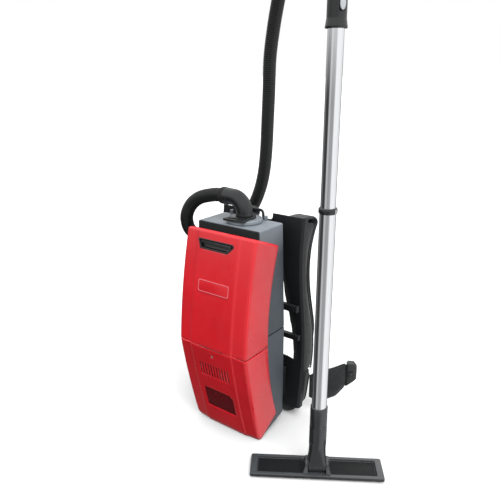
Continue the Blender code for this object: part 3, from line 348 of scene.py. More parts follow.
def papery(name, colour, scale, depth):
    """Filter paper or foam: fibres, stains and a crumpled surface."""
    m = Material(name, 0.95)
    fibres = m.noise(scale, 6.0)
    stains = m.noise(16.0, 4.0)
    m.colour(m.blend(m.spread(stains, 0.0, 1.0), tinted(colour, 0.78), tinted(colour, 1.08)))
    m.rough(m.spread(fibres, 0.85, 0.99))
    m.normal(m.bump(m.noise(42.0, 4.0), 0.0015, 0.6, below=m.bump(fibres, depth)))
    return m.mat


RED = moulded("red_cover_plastic", (0.72, 0.005, 0.015), 0.32, 500.0, 0.00002, wear=0.15, shine=0.95)
DARK_RED = moulded("grille_plastic", (0.15, 0.003, 0.006), 0.5, 500.0, 0.00003, wear=0.1, shine=0.3)
PALE_RED = moulded("badge_outline_paint", (0.8, 0.22, 0.26), 0.4, 500.0, 0.00002, wear=0.0)
# the grey housing's upper end is painted paler towards its top: painted top light
GREY = moulded("grey_housing_plastic", (0.05, 0.062, 0.076), 0.46, 600.0, 0.00004, wear=0.3,
                upper_colour=(0.27, 0.3, 0.33), paint_light_at_top=True)
BLACK = moulded("black_plastic", (0.01, 0.011, 0.012), 0.32, 500.0, 0.00003, wear=0.4, shine=0.6)
FRAME_BLACK = moulded("frame_plastic", (0.01, 0.011, 0.012), 0.5, 500.0, 0.00005, wear=0.4, shine=0.35)
RUBBER = moulded("black_rubber", (0.013, 0.013, 0.014), 0.6, 500.0, 0.00005, wear=0.3, shine=0.35)
HOSE = moulded("hose_plastic", (0.005, 0.0055, 0.006), 0.38, 500.0, 0.00003, wear=0.4, shine=0.35)
PALE = moulded("pale_plastic", (0.62, 0.64, 0.67), 0.35, 500.0, 0.00003, wear=0.0)
SLATE = moulded("tool_plastic", (0.012, 0.014, 0.016), 0.3, 500.0, 0.00004, wear=0.5, shine=0.8,
                 upper_colour=(0.055, 0.059, 0.063))
# darker than the tool's own plastic: painted shade for the channels' floors, so they look deeper
CHANNEL_SHADE = moulded("tool_channel_painted_shade", (0.006, 0.0065, 0.007), 0.55, 500.0, 0.00002, wear=0.0, shine=0.3)
PADDING = woven("padding_cloth", (0.022, 0.024, 0.026), 420.0, 0.00025)
SPACER = mesh_cloth("spacer_mesh", (0.03, 0.032, 0.034))
WEBBING = woven("webbing_cloth", (0.016, 0.017, 0.018), 300.0, 0.0004, 0.15)
THREAD = woven("sewing_thread", (0.06, 0.062, 0.066), 900.0, 0.0001, 0.1)
CHROME = plated("chrome_tube", (0.8, 0.81, 0.83), 0.1)
STEEL = plated("plain_steel", (0.56, 0.56, 0.57), 0.3, (300.0, 300.0, 300.0))
PAPER = papery("filter_paper", (0.62, 0.58, 0.48), 500.0, 0.0003)
FOAM = papery("filter_foam", (0.05, 0.05, 0.052), 900.0, 0.0008)
BRISTLE = woven("bristle_strip", (0.014, 0.014, 0.015), 700.0, 0.0006, 0.0)


# ---------------------------------------------------------------- mesh helpers
def new_object(name, data):
    obj = bpy.data.objects.new(name, data)
    bpy.context.scene.collection.objects.link(obj)
    return obj


def mesh_of(bm, name, shift=None):
    """Turn a bmesh into a mesh, and free it."""
    mesh = bpy.data.meshes.new(name)
    bm.to_mesh(mesh)
    bm.free()
    if shift is not None:
        mesh.transform(Matrix.Translation(shift))
    return mesh


def add(name, bm, mat, body, *nodes, slot=None):
    """Turn a bmesh into a piece that rides on a body and stands for some CAD nodes.

    The slot argument is not used.
    """
    obj = new_object(name, mesh_of(bm, name, PLACE))
    obj.data.materials.append(mat)
    if body is not None:
        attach(obj, body)
    if nodes:
        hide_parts(*nodes)
    return obj


def modify(obj, kind, **values):
    mod = obj.modifiers.new(kind.lower(), kind)
    for key, value in values.items():
        setattr(mod, key, value)
    return mod


def bake(obj):
    """Replace an object's mesh by what its modifiers make of it."""
    bpy.context.view_layer.update()
    evaluated = obj.evaluated_get(bpy.context.evaluated_depsgraph_get())
    mesh = bpy.data.meshes.new_from_object(evaluated)
    obj.modifiers.clear()
    obj.data = mesh
    return obj


def smooth(obj, angle=38.0):
    obj.data.shade_smooth()
    obj.data.set_sharp_from_angle(angle=math.radians(angle))
    return obj


def bevelled(obj, width, segments=2, angle=40.0):
    modify(obj, "BEVEL", width=width, segments=segments, limit_method="ANGLE",
           angle_limit=math.radians(angle), harden_normals=False)
    return smooth(bake(obj))


def carve(obj, bm, operation="DIFFERENCE"):
    """Cut, or join, a bmesh given about the unit's middle."""
    tool = new_object("tool", mesh_of(bm, "tool", PLACE))
    modify(obj, "BOOLEAN", operation=operation, solver="EXACT", object=tool)
    bake(obj)
    bpy.data.objects.remove(tool, do_unlink=True)
    return obj


def box_bm(size, centre, bevel=0.0, segments=2):
    bm = bmesh.new()
    bmesh.ops.create_cube(bm, size=1.0)
    bmesh.ops.scale(bm, vec=size, verts=bm.verts)
    bmesh.ops.translate(bm, vec=centre, verts=bm.verts)
    if bevel:
        bmesh.ops.bevel(bm, geom=bm.edges[:], offset=bevel, segments=segments, affect="EDGES", profile=0.5)
    return bm


def placed(bm, matrix):
    bmesh.ops.transform(bm, matrix=matrix, verts=bm.verts)
    return bm


def boxes_bm(boxes, bevel, segments):
    bm = bmesh.new()
    for size, centre in boxes:
        merge(bm, box_bm(size, centre, bevel, segments))
    return bm


def merge(bm, other):
    """Add another bmesh's faces to a bmesh."""
    mesh = mesh_of(other, "part")
    bm.from_mesh(mesh)
    bpy.data.meshes.remove(mesh)
    return bm


def loft_bm(rings, closed=False):
    """Join rings of equally many points; closed joins the last ring to the first."""
    bm = bmesh.new()
    rows = [[bm.verts.new(p) for p in ring] for ring in rings]
    count = len(rows[0])
    pairs = list(zip(rows, rows[1:]))
    if closed:
        pairs.append((rows[-1], rows[0]))
    for low, high in pairs:
        for i in range(count):
            j = (i + 1) % count
            bm.faces.new((low[i], low[j], high[j], high[i]))
    if not closed:
        bm.faces.new(rows[0][::-1])
        bm.faces.new(rows[-1])
    bmesh.ops.recalc_face_normals(bm, faces=bm.faces)
    return bm


def grid_bm(rows):
    bm = bmesh.new()
    grid = [[bm.verts.new(p) for p in row] for row in rows]
    for low, high in zip(grid, grid[1:]):
        for i in range(len(low) - 1):
            bm.faces.new((low[i], low[i + 1], high[i + 1], high[i]))
    return bm


def lathe_bm(profile, foot, direction=Z_AXIS, steps=64):
    """Turn (radius, height) points about an axis; points on the axis close the shape."""
    lean = Z_AXIS.rotation_difference(Vector(direction)).to_matrix().to_4x4()
    place = Matrix.Translation(Vector(foot)) @ lean
    bm = bmesh.new()
    rings = []
    for radius, height in profile:
        if radius < 1e-7:
            rings.append([bm.verts.new(place @ Vector((0.0, 0.0, height)))])
            continue
        turns = [2.0 * math.pi * i / steps for i in range(steps)]
        ring = [Vector((radius * math.cos(turn), radius * math.sin(turn), height)) for turn in turns]
        rings.append([bm.verts.new(place @ point) for point in ring])
    pairs = list(zip(rings, rings[1:]))
    if len(rings[0]) > 1:
        pairs.append((rings[-1], rings[0]))
    for a, b in pairs:
        for i in range(steps):
            j = (i + 1) % steps
            corners = [a[i % len(a)], a[j % len(a)], b[j % len(b)], b[i % len(b)]]
            face = list(dict.fromkeys(corners))
            if len(face) > 2:
                bm.faces.new(face)
    bmesh.ops.recalc_face_normals(bm, faces=bm.faces)
    return bm


def rod_bm(radius, length, foot, direction=Z_AXIS, steps=64):
    return lathe_bm([(0.0, length), (radius, length), (radius, 0.0), (0.0, 0.0)], foot, direction, steps)


def sweep_bm(points, radius, sides, closed=False):
    """A tube along points; radius is a number or a function of the point's index."""
    points = [Vector(p) for p in points]
    count = len(points)
    side = None
    rings = []
    for i, point in enumerate(points):
        if closed:
            ahead = points[(i + 1) % count] - points[i - 1]
        else:
            ahead = points[min(i + 1, count - 1)] - points[max(i - 1, 0)]
        ahead.normalize()
        if side is None:
            guess = Z_AXIS if abs(ahead.z) < 0.9 else X_AXIS
            side = ahead.cross(guess)
        side = (side - ahead * side.dot(ahead)).normalized()
        up = side.cross(ahead)
        size = radius(i) if callable(radius) else radius
        ring = []
        for k in range(sides):
            angle = 2.0 * math.pi * k / sides
            ring.append(point + (side * math.cos(angle) + up * math.sin(angle)) * size)
        rings.append(ring)
    return loft_bm(rings, closed)


def arc(centre, radius, start, end, steps):
    """2D points on an arc; angles in degrees."""
    points = []
    for i in range(steps + 1):
        angle = math.radians(start + (end - start) * i / steps)
        points.append((centre[0] + radius * math.cos(angle), centre[1] + radius * math.sin(angle)))
    return points


def rounded(outline, radius, steps):
    """Round the corners of a closed 2D outline."""
    points = [Vector(p) for p in outline]
    made = []
    for i, point in enumerate(points):
        before, after = points[i - 1] - point, points[(i + 1) % len(points)] - point
        reach = min(radius, before.length * 0.45, after.length * 0.45)
        start, end = point + before.normalized() * reach, point + after.normalized() * reach
        for k in range(steps + 1):
            t = k / steps
            made.append(tuple(start * (1 - t) ** 2 + point * 2 * t * (1 - t) + end * t * t))
    return made


def rounded_rectangle(half_u, half_v, radius, steps):
    corners = [(half_u, half_v), (-half_u, half_v), (-half_u, -half_v), (half_u, -half_v)]
    return rounded(corners, radius, steps)


def raised(outline, place, height):
    """2D points set out on a frame, at a height above it."""
    return [place @ Vector((u, v, height)) for u, v in outline]


def plate_bm(outlines, thickness, place):
    """A flat plate between closed 2D outlines; the first is the edge and the others are holes."""
    curve = bpy.data.curves.new("plate", "CURVE")
    curve.dimensions = "2D"
    curve.fill_mode = "BOTH"
    curve.extrude = thickness / 2.0
    for outline in outlines:
        spline = curve.splines.new("POLY")
        spline.points.add(len(outline) - 1)
        for point, (u, v) in zip(spline.points, outline):
            point.co = (u, v, 0.0, 1.0)
        spline.use_cyclic_u = True
    obj = new_object("plate", curve)
    bpy.context.view_layer.update()
    mesh = bpy.data.meshes.new_from_object(obj.evaluated_get(bpy.context.evaluated_depsgraph_get()))
    bpy.data.objects.remove(obj, do_unlink=True)
    bm = bmesh.new()
    bm.from_mesh(mesh)
    bpy.data.meshes.remove(mesh)
    bmesh.ops.remove_doubles(bm, verts=bm.verts, dist=0.000005)
    bmesh.ops.dissolve_limit(bm, angle_limit=math.radians(1.0), verts=bm.verts, edges=bm.edges)
    placed(bm, place)
    bmesh.ops.recalc_face_normals(bm, faces=bm.faces)
    return bm


def smooth_route(points, steps):
    """Points along a smooth curve through the given ones."""
    pts = [Vector(p) for p in points]
    padded = [2 * pts[0] - pts[1]] + pts + [2 * pts[-1] - pts[-2]]
    route = []
    for i in range(1, len(padded) - 2):
        p0, p1, p2, p3 = padded[i - 1:i + 3]
        for k in range(steps):
            t = k / steps
            route.append(0.5 * (2 * p1 + (p2 - p0) * t + (2 * p0 - 5 * p1 + 4 * p2 - p3) * t * t
                                + (3 * p1 - p0 - 3 * p2 + p3) * t ** 3))
    route.append(pts[-1])
    return route


def evenly(points, step):
    """The same route with points a fixed distance apart."""
    line = np.array([tuple(p) for p in points])
    along = np.concatenate([[0.0], np.cumsum(np.linalg.norm(np.diff(line, axis=0), axis=1))])
    count = max(2, round(along[-1] / step) + 1)
    wanted = np.linspace(0.0, along[-1], count)
    return [Vector([float(np.interp(w, along, line[:, k])) for k in range(3)]) for w in wanted]


def stitches_bm(points):
    """A row of sewn stitches: short rounded rods that lie along a route, half sunk in the cloth."""
    bm = bmesh.new()
    length, thick = 0.003, 0.00055
    line = evenly(points, STITCH_PITCH)
    for a, b in zip(line, line[1:]):
        run = b - a
        if run.length < 1e-6:
            continue
        run.normalize()
        middle = (a + b) / 2 + Y_AXIS * thick * 0.3
        ends = [middle - run * length / 2, middle - run * length * 0.3, middle + run * length * 0.3,
                middle + run * length / 2]
        sizes = (thick * 0.35, thick, thick, thick * 0.35)
        add_tube(bm, ends, sizes, 6)
    return bm


def add_tube(bm, points, sizes, sides):
    """Add one short tube straight to a bmesh."""
    ahead = (points[-1] - points[0]).normalized()
    guess = Z_AXIS if abs(ahead.z) < 0.9 else X_AXIS
    side = ahead.cross(guess).normalized()
    up = side.cross(ahead)
    turns = [2 * math.pi * k / sides for k in range(sides)]
    rows = []
    for point, size in zip(points, sizes):
        ring = [point + (side * math.cos(turn) + up * math.sin(turn)) * size for turn in turns]
        rows.append([bm.verts.new(p) for p in ring])
    for low, high in zip(rows, rows[1:]):
        for i in range(sides):
            j = (i + 1) % sides
            bm.faces.new((low[i], low[j], high[j], high[i]))
    bm.faces.new(rows[0][::-1])
    bm.faces.new(rows[-1])


def refine(node, mat, width, segments=2):
    """Give a CAD node its material and rounded edges; its own mesh stays as it is."""
    obj = frame["nodes"][node]
    for slot in obj.material_slots:
        slot.material = mat
    obj.data.shade_smooth()
    modify(obj, "WELD", merge_threshold=0.00001)
    if width:
        modify(obj, "DECIMATE", decimate_type="DISSOLVE", angle_limit=math.radians(0.6))
        modify(obj, "BEVEL", width=width, segments=segments, limit_method="ANGLE",
               angle_limit=math.radians(32.0))
    modify(obj, "WEIGHTED_NORMAL", keep_sharp=False)


# ---------------------------------------------------------------- camera, light and stage
CAMERA_SPOT = Vector((0.8254, -1.0558, 0.9321))
CAMERA_TURN = (math.radians(71.88), 0.0, math.radians(37.05))
CAMERA_LENS = 39.85
# bearing as a share of a full turn, and the brightness there
FLAGS = ((0.0, 0.25), (0.05, 0.06), (0.165, 0.05), (0.2, 0.6), (0.24, 0.6), (0.27, 0.38), (0.38, 0.42),
         (0.42, 1.1), (0.56, 1.1), (0.6, 0.95), (0.67, 1.0), (0.72, 0.3), (0.85, 0.16), (1.0, 0.25))


def make_camera():
    """A camera in front, to the right and above, with the fitted angle and lens."""
    data = bpy.data.cameras.new("camera")
    data.lens = CAMERA_LENS
    data.sensor_width = 36.0
    data.clip_start = 0.05
    cam = new_object("camera", data)
    cam.location = PLACE + CAMERA_SPOT
    cam.rotation_euler = CAMERA_TURN
    bpy.context.scene.camera = cam


def soft_sun(name, toward, strength, softness):
    """A wide distant lamp that lights everything evenly and shows in no reflection."""
    data = bpy.data.lights.new(name, "SUN")
    data.energy = strength
    data.angle = math.radians(softness)
    lamp = new_object(name, data)
    lamp.rotation_euler = (-Vector(toward)).to_track_quat("-Z", "Y").to_euler()
    lamp.visible_glossy = False


def flags_node(tree, bearing):
    """The brightness of the flags at a bearing given from 0 to 1."""
    ramp = tree.node("ShaderNodeValToRGB", Fac=bearing)
    elements = ramp.color_ramp.elements
    while len(elements) < len(FLAGS):
        elements.new(0.5)
    for element, (place, level) in zip(elements, FLAGS):
        element.position = place
        element.color = (level, level, level, 1.0)
    return ramp.outputs["Color"]


def make_studio():
    """A white studio: soft light from above and the right, and tall light and dark flags all round.

    The flags show only in reflections. Bearings run from 0 at the left (-X) round by the front and right.
    """
    scene = bpy.context.scene
    scene.view_settings.view_transform = "Standard"
    soft_sun("key_sun", (0.62, -0.34, 0.71), 2.3, 40.0)
    soft_sun("fill_sun", (-0.7, -0.5, 0.5), 0.3, 60.0)
    soft_sun("top_sun", (0.05, 0.1, 0.99), 1.1, 50.0)
    scene.world = bpy.data.worlds.new("studio")
    scene.world.use_nodes = True
    tree = Nodes(scene.world.node_tree)
    generated = tree.node("ShaderNodeTexCoord").outputs["Generated"]
    way = tree.node("ShaderNodeSeparateXYZ", Vector=generated).outputs
    bearing = tree.math("ARCTAN2", way["Y"], way["X"])
    flags = flags_node(tree, tree.spread(bearing, 0.0, 1.0, -math.pi, math.pi))
    shown = tree.blend(tree.spread(way["Z"], 0.0, 1.0, -0.04, 0.22), flags, (1.15, 1.15, 1.15))
    soft = tree.blend(tree.spread(way["Z"], 0.0, 1.0, -0.5, 0.5), (0.1, 0.1, 0.1), (0.84, 0.84, 0.84))
    rays = tree.node("ShaderNodeLightPath").outputs
    lit = tree.blend(rays["Is Glossy Ray"], soft, shown)
    seen = tree.blend(rays["Is Camera Ray"], lit, (1.0, 1.0, 1.0))
    tree.put(tree.tree.nodes["Background"].inputs["Color"], seen)


def make_floor():
    """A pale floor that shows in no reflection."""
    bm = bmesh.new()
    bmesh.ops.create_grid(bm, x_segments=4, y_segments=4, size=60.0)
    floor = new_object("floor", mesh_of(bm, "floor", (0.0, 0.0, -0.0005)))
    m = Material("pale_floor", 0.75)
    m.colour(m.blend(m.noise(3.0, 2.0), (0.84, 0.84, 0.84), (0.87, 0.87, 0.87)))
    floor.data.materials.append(m.mat)
    floor.visible_glossy = False
    floor.visible_diffuse = False


# ---------------------------------------------------------------- hose
def grip_direction():
    return GRIP_HEADING * math.sin(GRIP_LEAN) + Z_AXIS * math.cos(GRIP_LEAN)


def grip_point(along):
    """The grip's middle line: upright, round the bend, then straight on."""
    straight = GRIP_TURN_Z - GRIP_BASE_Z
    bend = GRIP_BEND * GRIP_LEAN
    base = on_wand(0.0)
    if along <= straight:
        return base + Z_AXIS * (GRIP_BASE_Z + along)
    angle = min(1.0, (along - straight) / bend) * GRIP_LEAN
    point = base + GRIP_HEADING * (GRIP_BEND * (1 - math.cos(angle)))
    point += Z_AXIS * (GRIP_TURN_Z + GRIP_BEND * math.sin(angle))
    return point + grip_direction() * max(0.0, along - straight - bend)


# points on the hose's middle line: over the left side, down, round behind the unit, up and over to the grip
HOSE_POINTS = (
    (-0.095, 0.002, 0.624), (-0.139, 0.003, 0.6105), (-0.173, 0.004, 0.5855), (-0.194, 0.008, 0.549),
    (-0.205, 0.03, 0.508), (-0.208, 0.068, 0.482), (-0.201, 0.115, 0.472), (-0.182, 0.162, 0.48),
    (-0.152, 0.196, 0.506), (-0.12, 0.208, 0.548), (-0.095, 0.208, 0.598), (-0.078, 0.206, 0.655),
    (-0.069, 0.204, 0.72), (-0.064, 0.202, 0.8), (-0.06, 0.201, 0.88), (-0.057, 0.2, 0.96),
    (-0.044, 0.198, 1.04), (-0.024, 0.192, 1.115), (0.002, 0.172, 1.185), (0.036, 0.14, 1.236),
    (0.076, 0.098, 1.264), (0.11, 0.058, 1.264))


def hose_route():
    """The same route as the CAD hose, with a short straight run at each end."""
    start = Vector((-0.0626, BOSS_Y, ELBOW_Z))
    end = grip_point(GRIP_LENGTH) + grip_direction() * 0.0506
    straight = 0.006
    middle = [start - X_AXIS * straight, *HOSE_POINTS, end + grip_direction() * straight * 3,
              end + grip_direction() * straight]
    return [start] + smooth_route(middle, 6) + [end]


def make_hose():
    """A finely ribbed hose between the unit and the wand."""
    rings_per_rib = 6
    line = evenly(hose_route(), HOSE_PITCH / rings_per_rib)

    def radius(i):
        phase = 2.0 * math.pi * i / rings_per_rib
        return HOSE_RADIUS - HOSE_RIB * (0.5 - 0.5 * math.cos(phase))

    hose = add("ribbed_hose", sweep_bm(line, radius, 28), HOSE, None, "hose")
    smooth(hose, 70.0)
    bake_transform(hose)


# ---------------------------------------------------------------- covers
def front_y(z):
    """Depth of the covers' front, which leans back above and below the split."""
    rise = z - COVER_SPLIT_Z
    if rise >= 0.0:
        return COVER_PEAK_Y + 0.0586 * rise + 0.308 * rise * rise
    return COVER_PEAK_Y - 0.165 * rise + 0.25 * rise * rise


def front_slope(z):
    rise = z - COVER_SPLIT_Z
    return math.atan(0.0586 + 0.616 * rise) if rise >= 0.0 else math.atan(-0.165 + 0.5 * rise)


def rear_edge_y(z):
    y, height, radius = REAR_EDGE
    return y + radius - math.sqrt(radius ** 2 - (z - height) ** 2)


def on_front(z, lift, x=0.0):
    """A frame on the covers' front: local X is across, Y is up the surface and Z is outwards."""
    lean = front_slope(z)
    up = Vector((0.0, math.sin(lean), math.cos(lean)))
    out = Vector((0.0, -math.cos(lean), math.sin(lean)))
    place = Matrix((X_AXIS, up, out)).transposed().to_4x4()
    place.translation = Vector((x, front_y(z), z)) + out * lift
    return place


def cover_row(z_front, slant, inset_front=0.0, inset_side=0.0):
    """One level of a cover from flank to flank, with the creased middle panel."""
    y = front_y(z_front) + inset_front
    half = COVER_HALF - inset_side
    ridge = half - COVER_CORNER
    plan = [(CREASE_X * i / 8, y) for i in range(9)]
    for i in range(1, 6):
        t = i / 5
        plan.append((CREASE_X + CREASE_WIDTH * t, y + CREASE_DEPTH * t * t * (3 - 2 * t)))
    start = plan[-1]
    corner = (ridge, y + SHOULDER + COVER_CORNER)
    for i in range(1, 5):
        t = i / 5
        plan.append((start[0] + (ridge - start[0]) * t, start[1] + (y + SHOULDER - start[1]) * t))
    plan += arc(corner, COVER_CORNER, -90, 0, 8)
    rear = rear_edge_y(z_front)
    for _ in range(3):
        rear = rear_edge_y(z_front + slant * (rear - y))
    plan += [(half, corner[1] + (rear - corner[1]) * i / 7) for i in range(1, 8)]
    right = [(x, depth, z_front + slant * (depth - y)) for x, depth in plan]
    return [(-x, depth, z) for x, depth, z in right[:0:-1]] + right


def shell_of(rows, name, node):
    """Give the levels of a cover the thickness of its wall."""
    cover = add(name, grid_bm(rows), RED, "cover" if node == "upper_cover" else "unit", node)
    modify(cover, "SOLIDIFY", thickness=COVER_SHELL, offset=-1.0, use_even_offset=True)
    return bake(cover)


def latch_outline(grow):
    """The grip recess: wider at the top, with its right end cut back."""
    low, high = -0.0105 - grow, 0.011 + grow
    corners = [(-0.061 - grow, high), (-0.052 - grow, low), (0.03 + grow, low),
               (0.046 + grow, 0.0035), (0.048 + grow, 0.008), (0.043 + grow, high)]
    return rounded(corners, 0.003, 4)


def knuckles_bm(places):
    """Short hinge barrels at the covers' split, given by their middles and lengths."""
    bm = bmesh.new()
    for x, length in places:
        merge(bm, lathe_bm([(0.0, 0.0), (0.0014, 0.0), (0.0016, 0.0003), (0.0016, length - 0.0003),
                            (0.0014, length), (0.0, length)],
                           (x - length / 2, HINGE_Y, COVER_SPLIT_Z), X_AXIS, 16))
    return bm


def top_web_bm():
    """The sloping web that closes the cover's top back to the housing's rim."""
    lip_y = front_y(COVER_LIP_Z) + 0.0085
    corner = (COVER_HALF - 0.008 - COVER_CORNER, lip_y + 0.0115)
    half = [(CREASE_X, lip_y - 0.0013)] + arc(corner, COVER_CORNER + 0.0012, -90, 0, 8)
    half.append((half[-1][0], HOUSING_RIM_Y - 0.0045))
    plan = [(-x, y) for x, y in reversed(half)] + half
    return loft_bm([[(x, y, COVER_LIP_Z - drop - COVER_SLANT * (y - lip_y)) for x, y in plan]
                    for drop in (0.0034, 0.0014)])


def make_upper_cover():
    """The tall hinged cover: curved levels, a rounded lip, a sloping web at the top and the grip's hole."""
    low = COVER_SPLIT_Z + 0.0018
    rows = []
    for z in np.linspace(low, COVER_TOP_Z, 40).tolist():
        share = (z - COVER_SPLIT_Z) / (COVER_TOP_Z - COVER_SPLIT_Z)
        rows.append(cover_row(z, -COVER_SLANT * share * share))
    for z in (0.5475, 0.5505, 0.5535):
        rows.append(cover_row(z, -COVER_SLANT))
    for i in range(1, 7):
        turn = math.radians(90.0 * i / 6)
        inward = 0.0042 * (1.0 - math.cos(turn))
        rows.append(cover_row(0.5538 + 0.0043 * math.sin(turn), -COVER_SLANT, inward, inward))
    rows.append(cover_row(COVER_LIP_Z, -COVER_SLANT, 0.0085, 0.008))
    cover = shell_of(rows, "cover_upper_skin", "upper_cover")
    carve(cover, top_web_bm(), "UNION")
    carve(cover, plate_bm([latch_outline(0.0004)], 0.05, on_front(LATCH_Z, 0.0)))
    bevelled(cover, 0.0007, 2, 50.0)
    add("cover_upper_knuckles", knuckles_bm([(-0.06, 0.0178), (0.06, 0.0178)]), RED, "cover")


def grille_outline(grow):
    half_w, half_h, chamfer = 0.048 + grow, 0.034 + grow, 0.01
    return rounded([(-half_w, -half_h), (half_w, -half_h), (half_w, half_h - chamfer),
                    (half_w - chamfer, half_h), (-half_w, half_h)], 0.002, 3)


def make_lower_cover():
    """The short fixed cover, with a row of slots, the grille's hole and the screw's hole."""
    rows = []
    for z in np.linspace(0.0, COVER_SPLIT_Z - 0.0022, 44).tolist():
        share = (COVER_SPLIT_Z - z) / COVER_SPLIT_Z
        fold = max(0.0, 1.0 - z / 0.012)
        rows.append(cover_row(z, 0.61 * share * share, 0.004 * fold, 0.001 * fold))
    cover = shell_of(rows, "cover_lower_skin", "lower_cover")
    slots = [((0.0054, 0.05, 0.039), (-0.045 + 0.009 * i, front_y(SLOT_Z), SLOT_Z)) for i in range(11)]
    carve(cover, boxes_bm(slots, 0.0012, 2))
    carve(cover, plate_bm([grille_outline(0.0004)], 0.05, on_front(GRILLE_Z, 0.0)))
    carve(cover, rod_bm(0.0042, 0.02, (0.0, front_y(SCREW_Z) + 0.01, SCREW_Z), -Y_AXIS, 24))
    bevelled(cover, 0.0006, 2, 50.0)
    places = [(side * 0.06 + step * 0.0146, 0.01) for side in (-1, 1) for step in (-1, 1)]
    add("cover_lower_knuckles", knuckles_bm(places), RED, "unit")


def make_grille():
    """A set-back panel with upright ribs, a border and one small fixing screw."""
    place = on_front(GRILLE_Z, -0.0052)
    panel = plate_bm([grille_outline(-0.0004)], 0.0018, place)
    rim = [grille_outline(-0.0004), grille_outline(-0.003)]
    merge(panel, plate_bm(rim, 0.003, place @ Matrix.Translation((0.0, 0.0, 0.0015))))
    bottom = -0.0305
    for i in range(19):
        u = -0.043 + 0.086 * i / 18
        top = -bottom - max(0.0, u - 0.03) * 0.55
        rib = box_bm((0.0016, top - bottom, 0.0026), (u, (top + bottom) / 2, 0.0018), 0.0005, 1)
        merge(panel, placed(rib, place))
    smooth(add("grille_panel", panel, DARK_RED, "unit", "exhaust_grille"))
    head = [(0.0, 0.0022), (0.001, 0.0022), (0.0012, 0.0014), (0.0026, 0.0018), (0.0032, 0.001),
            (0.0032, 0.0), (0.0, 0.0)]
    foot = on_front(GRILLE_Z, -0.003) @ Vector((-0.013, 0.019, 0.0))
    screw = lathe_bm(head, foot, place.to_3x3() @ Z_AXIS, 24)
    smooth(add("grille_screw", screw, DARK_RED, "unit"))


def make_cover_screw():
    """A domed screw head with a cross recess, sunk in the lower cover."""
    place = on_front(SCREW_Z, 0.0)
    out = place.to_3x3() @ Z_AXIS
    foot = place @ Vector((0.0, 0.0, -0.0072))
    head = [(0.0, 0.0068), (0.0012, 0.0067), (0.0024, 0.006), (0.003, 0.005), (0.003, 0.0042),
            (0.0014, 0.0038), (0.0014, 0.0), (0.0, 0.0)]
    screw = add("cover_screw_head", lathe_bm(head, foot, out, 32), STEEL, "unit", "cover_screw")
    for size in ((0.003, 0.0007, 0.002), (0.0007, 0.003, 0.002)):
        slot = placed(box_bm(size, (0.0, 0.0, 0.0)), on_front(SCREW_Z, -0.0002))
        carve(screw, slot)
    smooth(screw)


def make_latch():
    """A black grip cup with a raised lip, ribs on its floor, and a flap along its top edge."""
    place = on_front(LATCH_Z, 0.0)
    steps = ((-0.0003, -0.013), (-0.0003, 0.0003), (0.0014, 0.0003), (0.0019, 0.0006), (0.0017, 0.0011),
             (0.001, 0.0014), (-0.0008, 0.0014), (-0.0015, 0.001), (-0.0018, 0.0002), (-0.0022, -0.0108),
             (-0.0032, -0.0114))
    rings = [raised(latch_outline(grow), place, depth) for grow, depth in steps]
    cup = add("latch_cup_skin", loft_bm(rings), BLACK, "cover", "latch_cup")
    smooth(cup, 45.0)
    flap = rounded([(-0.0558, 0.008), (-0.0538, 0.0006), (0.0378, 0.0006), (0.0412, 0.008)], 0.0015, 3)
    leaf = plate_bm([flap], 0.0022, place @ Matrix.Translation((0.0, 0.0, -0.0017)))
    for i in range(3):
        rib = box_bm((0.082, 0.0006, 0.0006), (-0.008, 0.002 + 0.0018 * i, -0.0005), 0.0002, 1)
        merge(leaf, placed(rib, place))
    leaf = add("latch_flap_skin", leaf, BLACK, "latch", "latch_handle")
    bevelled(leaf, 0.0004, 2)


def make_badge():
    """A blank raised plate with rounded corners, a plain outline and no mark on it."""
    plate = plate_bm([rounded_rectangle(0.049, 0.016, 0.006, 5)], 0.0012, on_front(BADGE_Z, 0.0008))
    bevelled(add("blank_badge_plate", plate, RED, "cover", "blank_badge"), 0.0005, 3)
    rim = [rounded_rectangle(0.0478, 0.0148, 0.0052, 5), rounded_rectangle(0.0464, 0.0134, 0.0042, 5)]
    outline = plate_bm(rim, 0.0004, on_front(BADGE_Z, 0.0015))
    bevelled(add("blank_badge_outline", outline, PALE_RED, "cover"), 0.0001, 1)


# ---------------------------------------------------------------- grey housings
def shell_box(name, low, high, dropped, node):
    """An open thin-walled box from two rectangles (half width, y front, y back, z front, z back)."""
    bm = bmesh.new()
    bmesh.ops.create_cube(bm, size=1.0)
    for vert in bm.verts:
        half, y_front, y_back, z_front, z_back = high if vert.co.z > 0 else low
        back = vert.co.y > 0
        vert.co = ((1.0 if vert.co.x > 0 else -1.0) * half, y_back if back else y_front,
                   z_back if back else z_front)
    bm.normal_update()

    def is_dropped(face, closeness):
        return any(face.normal.dot(way) > closeness for way in dropped)

    edges = [edge for edge in bm.edges if not any(is_dropped(face, 0.9) for face in edge.link_faces)]
    bmesh.ops.bevel(bm, geom=edges, offset=0.0045, segments=6, affect="EDGES", profile=0.5)
    bm.normal_update()
    gone = [face for face in bm.faces if is_dropped(face, 0.985) and face.calc_area() > 0.001]
    bmesh.ops.delete(bm, geom=gone, context="FACES")
    shell = add(name, bm, GREY, "unit", node)
    modify(shell, "SOLIDIFY", thickness=0.003, offset=-1.0, use_even_offset=True)
    return bake(shell)


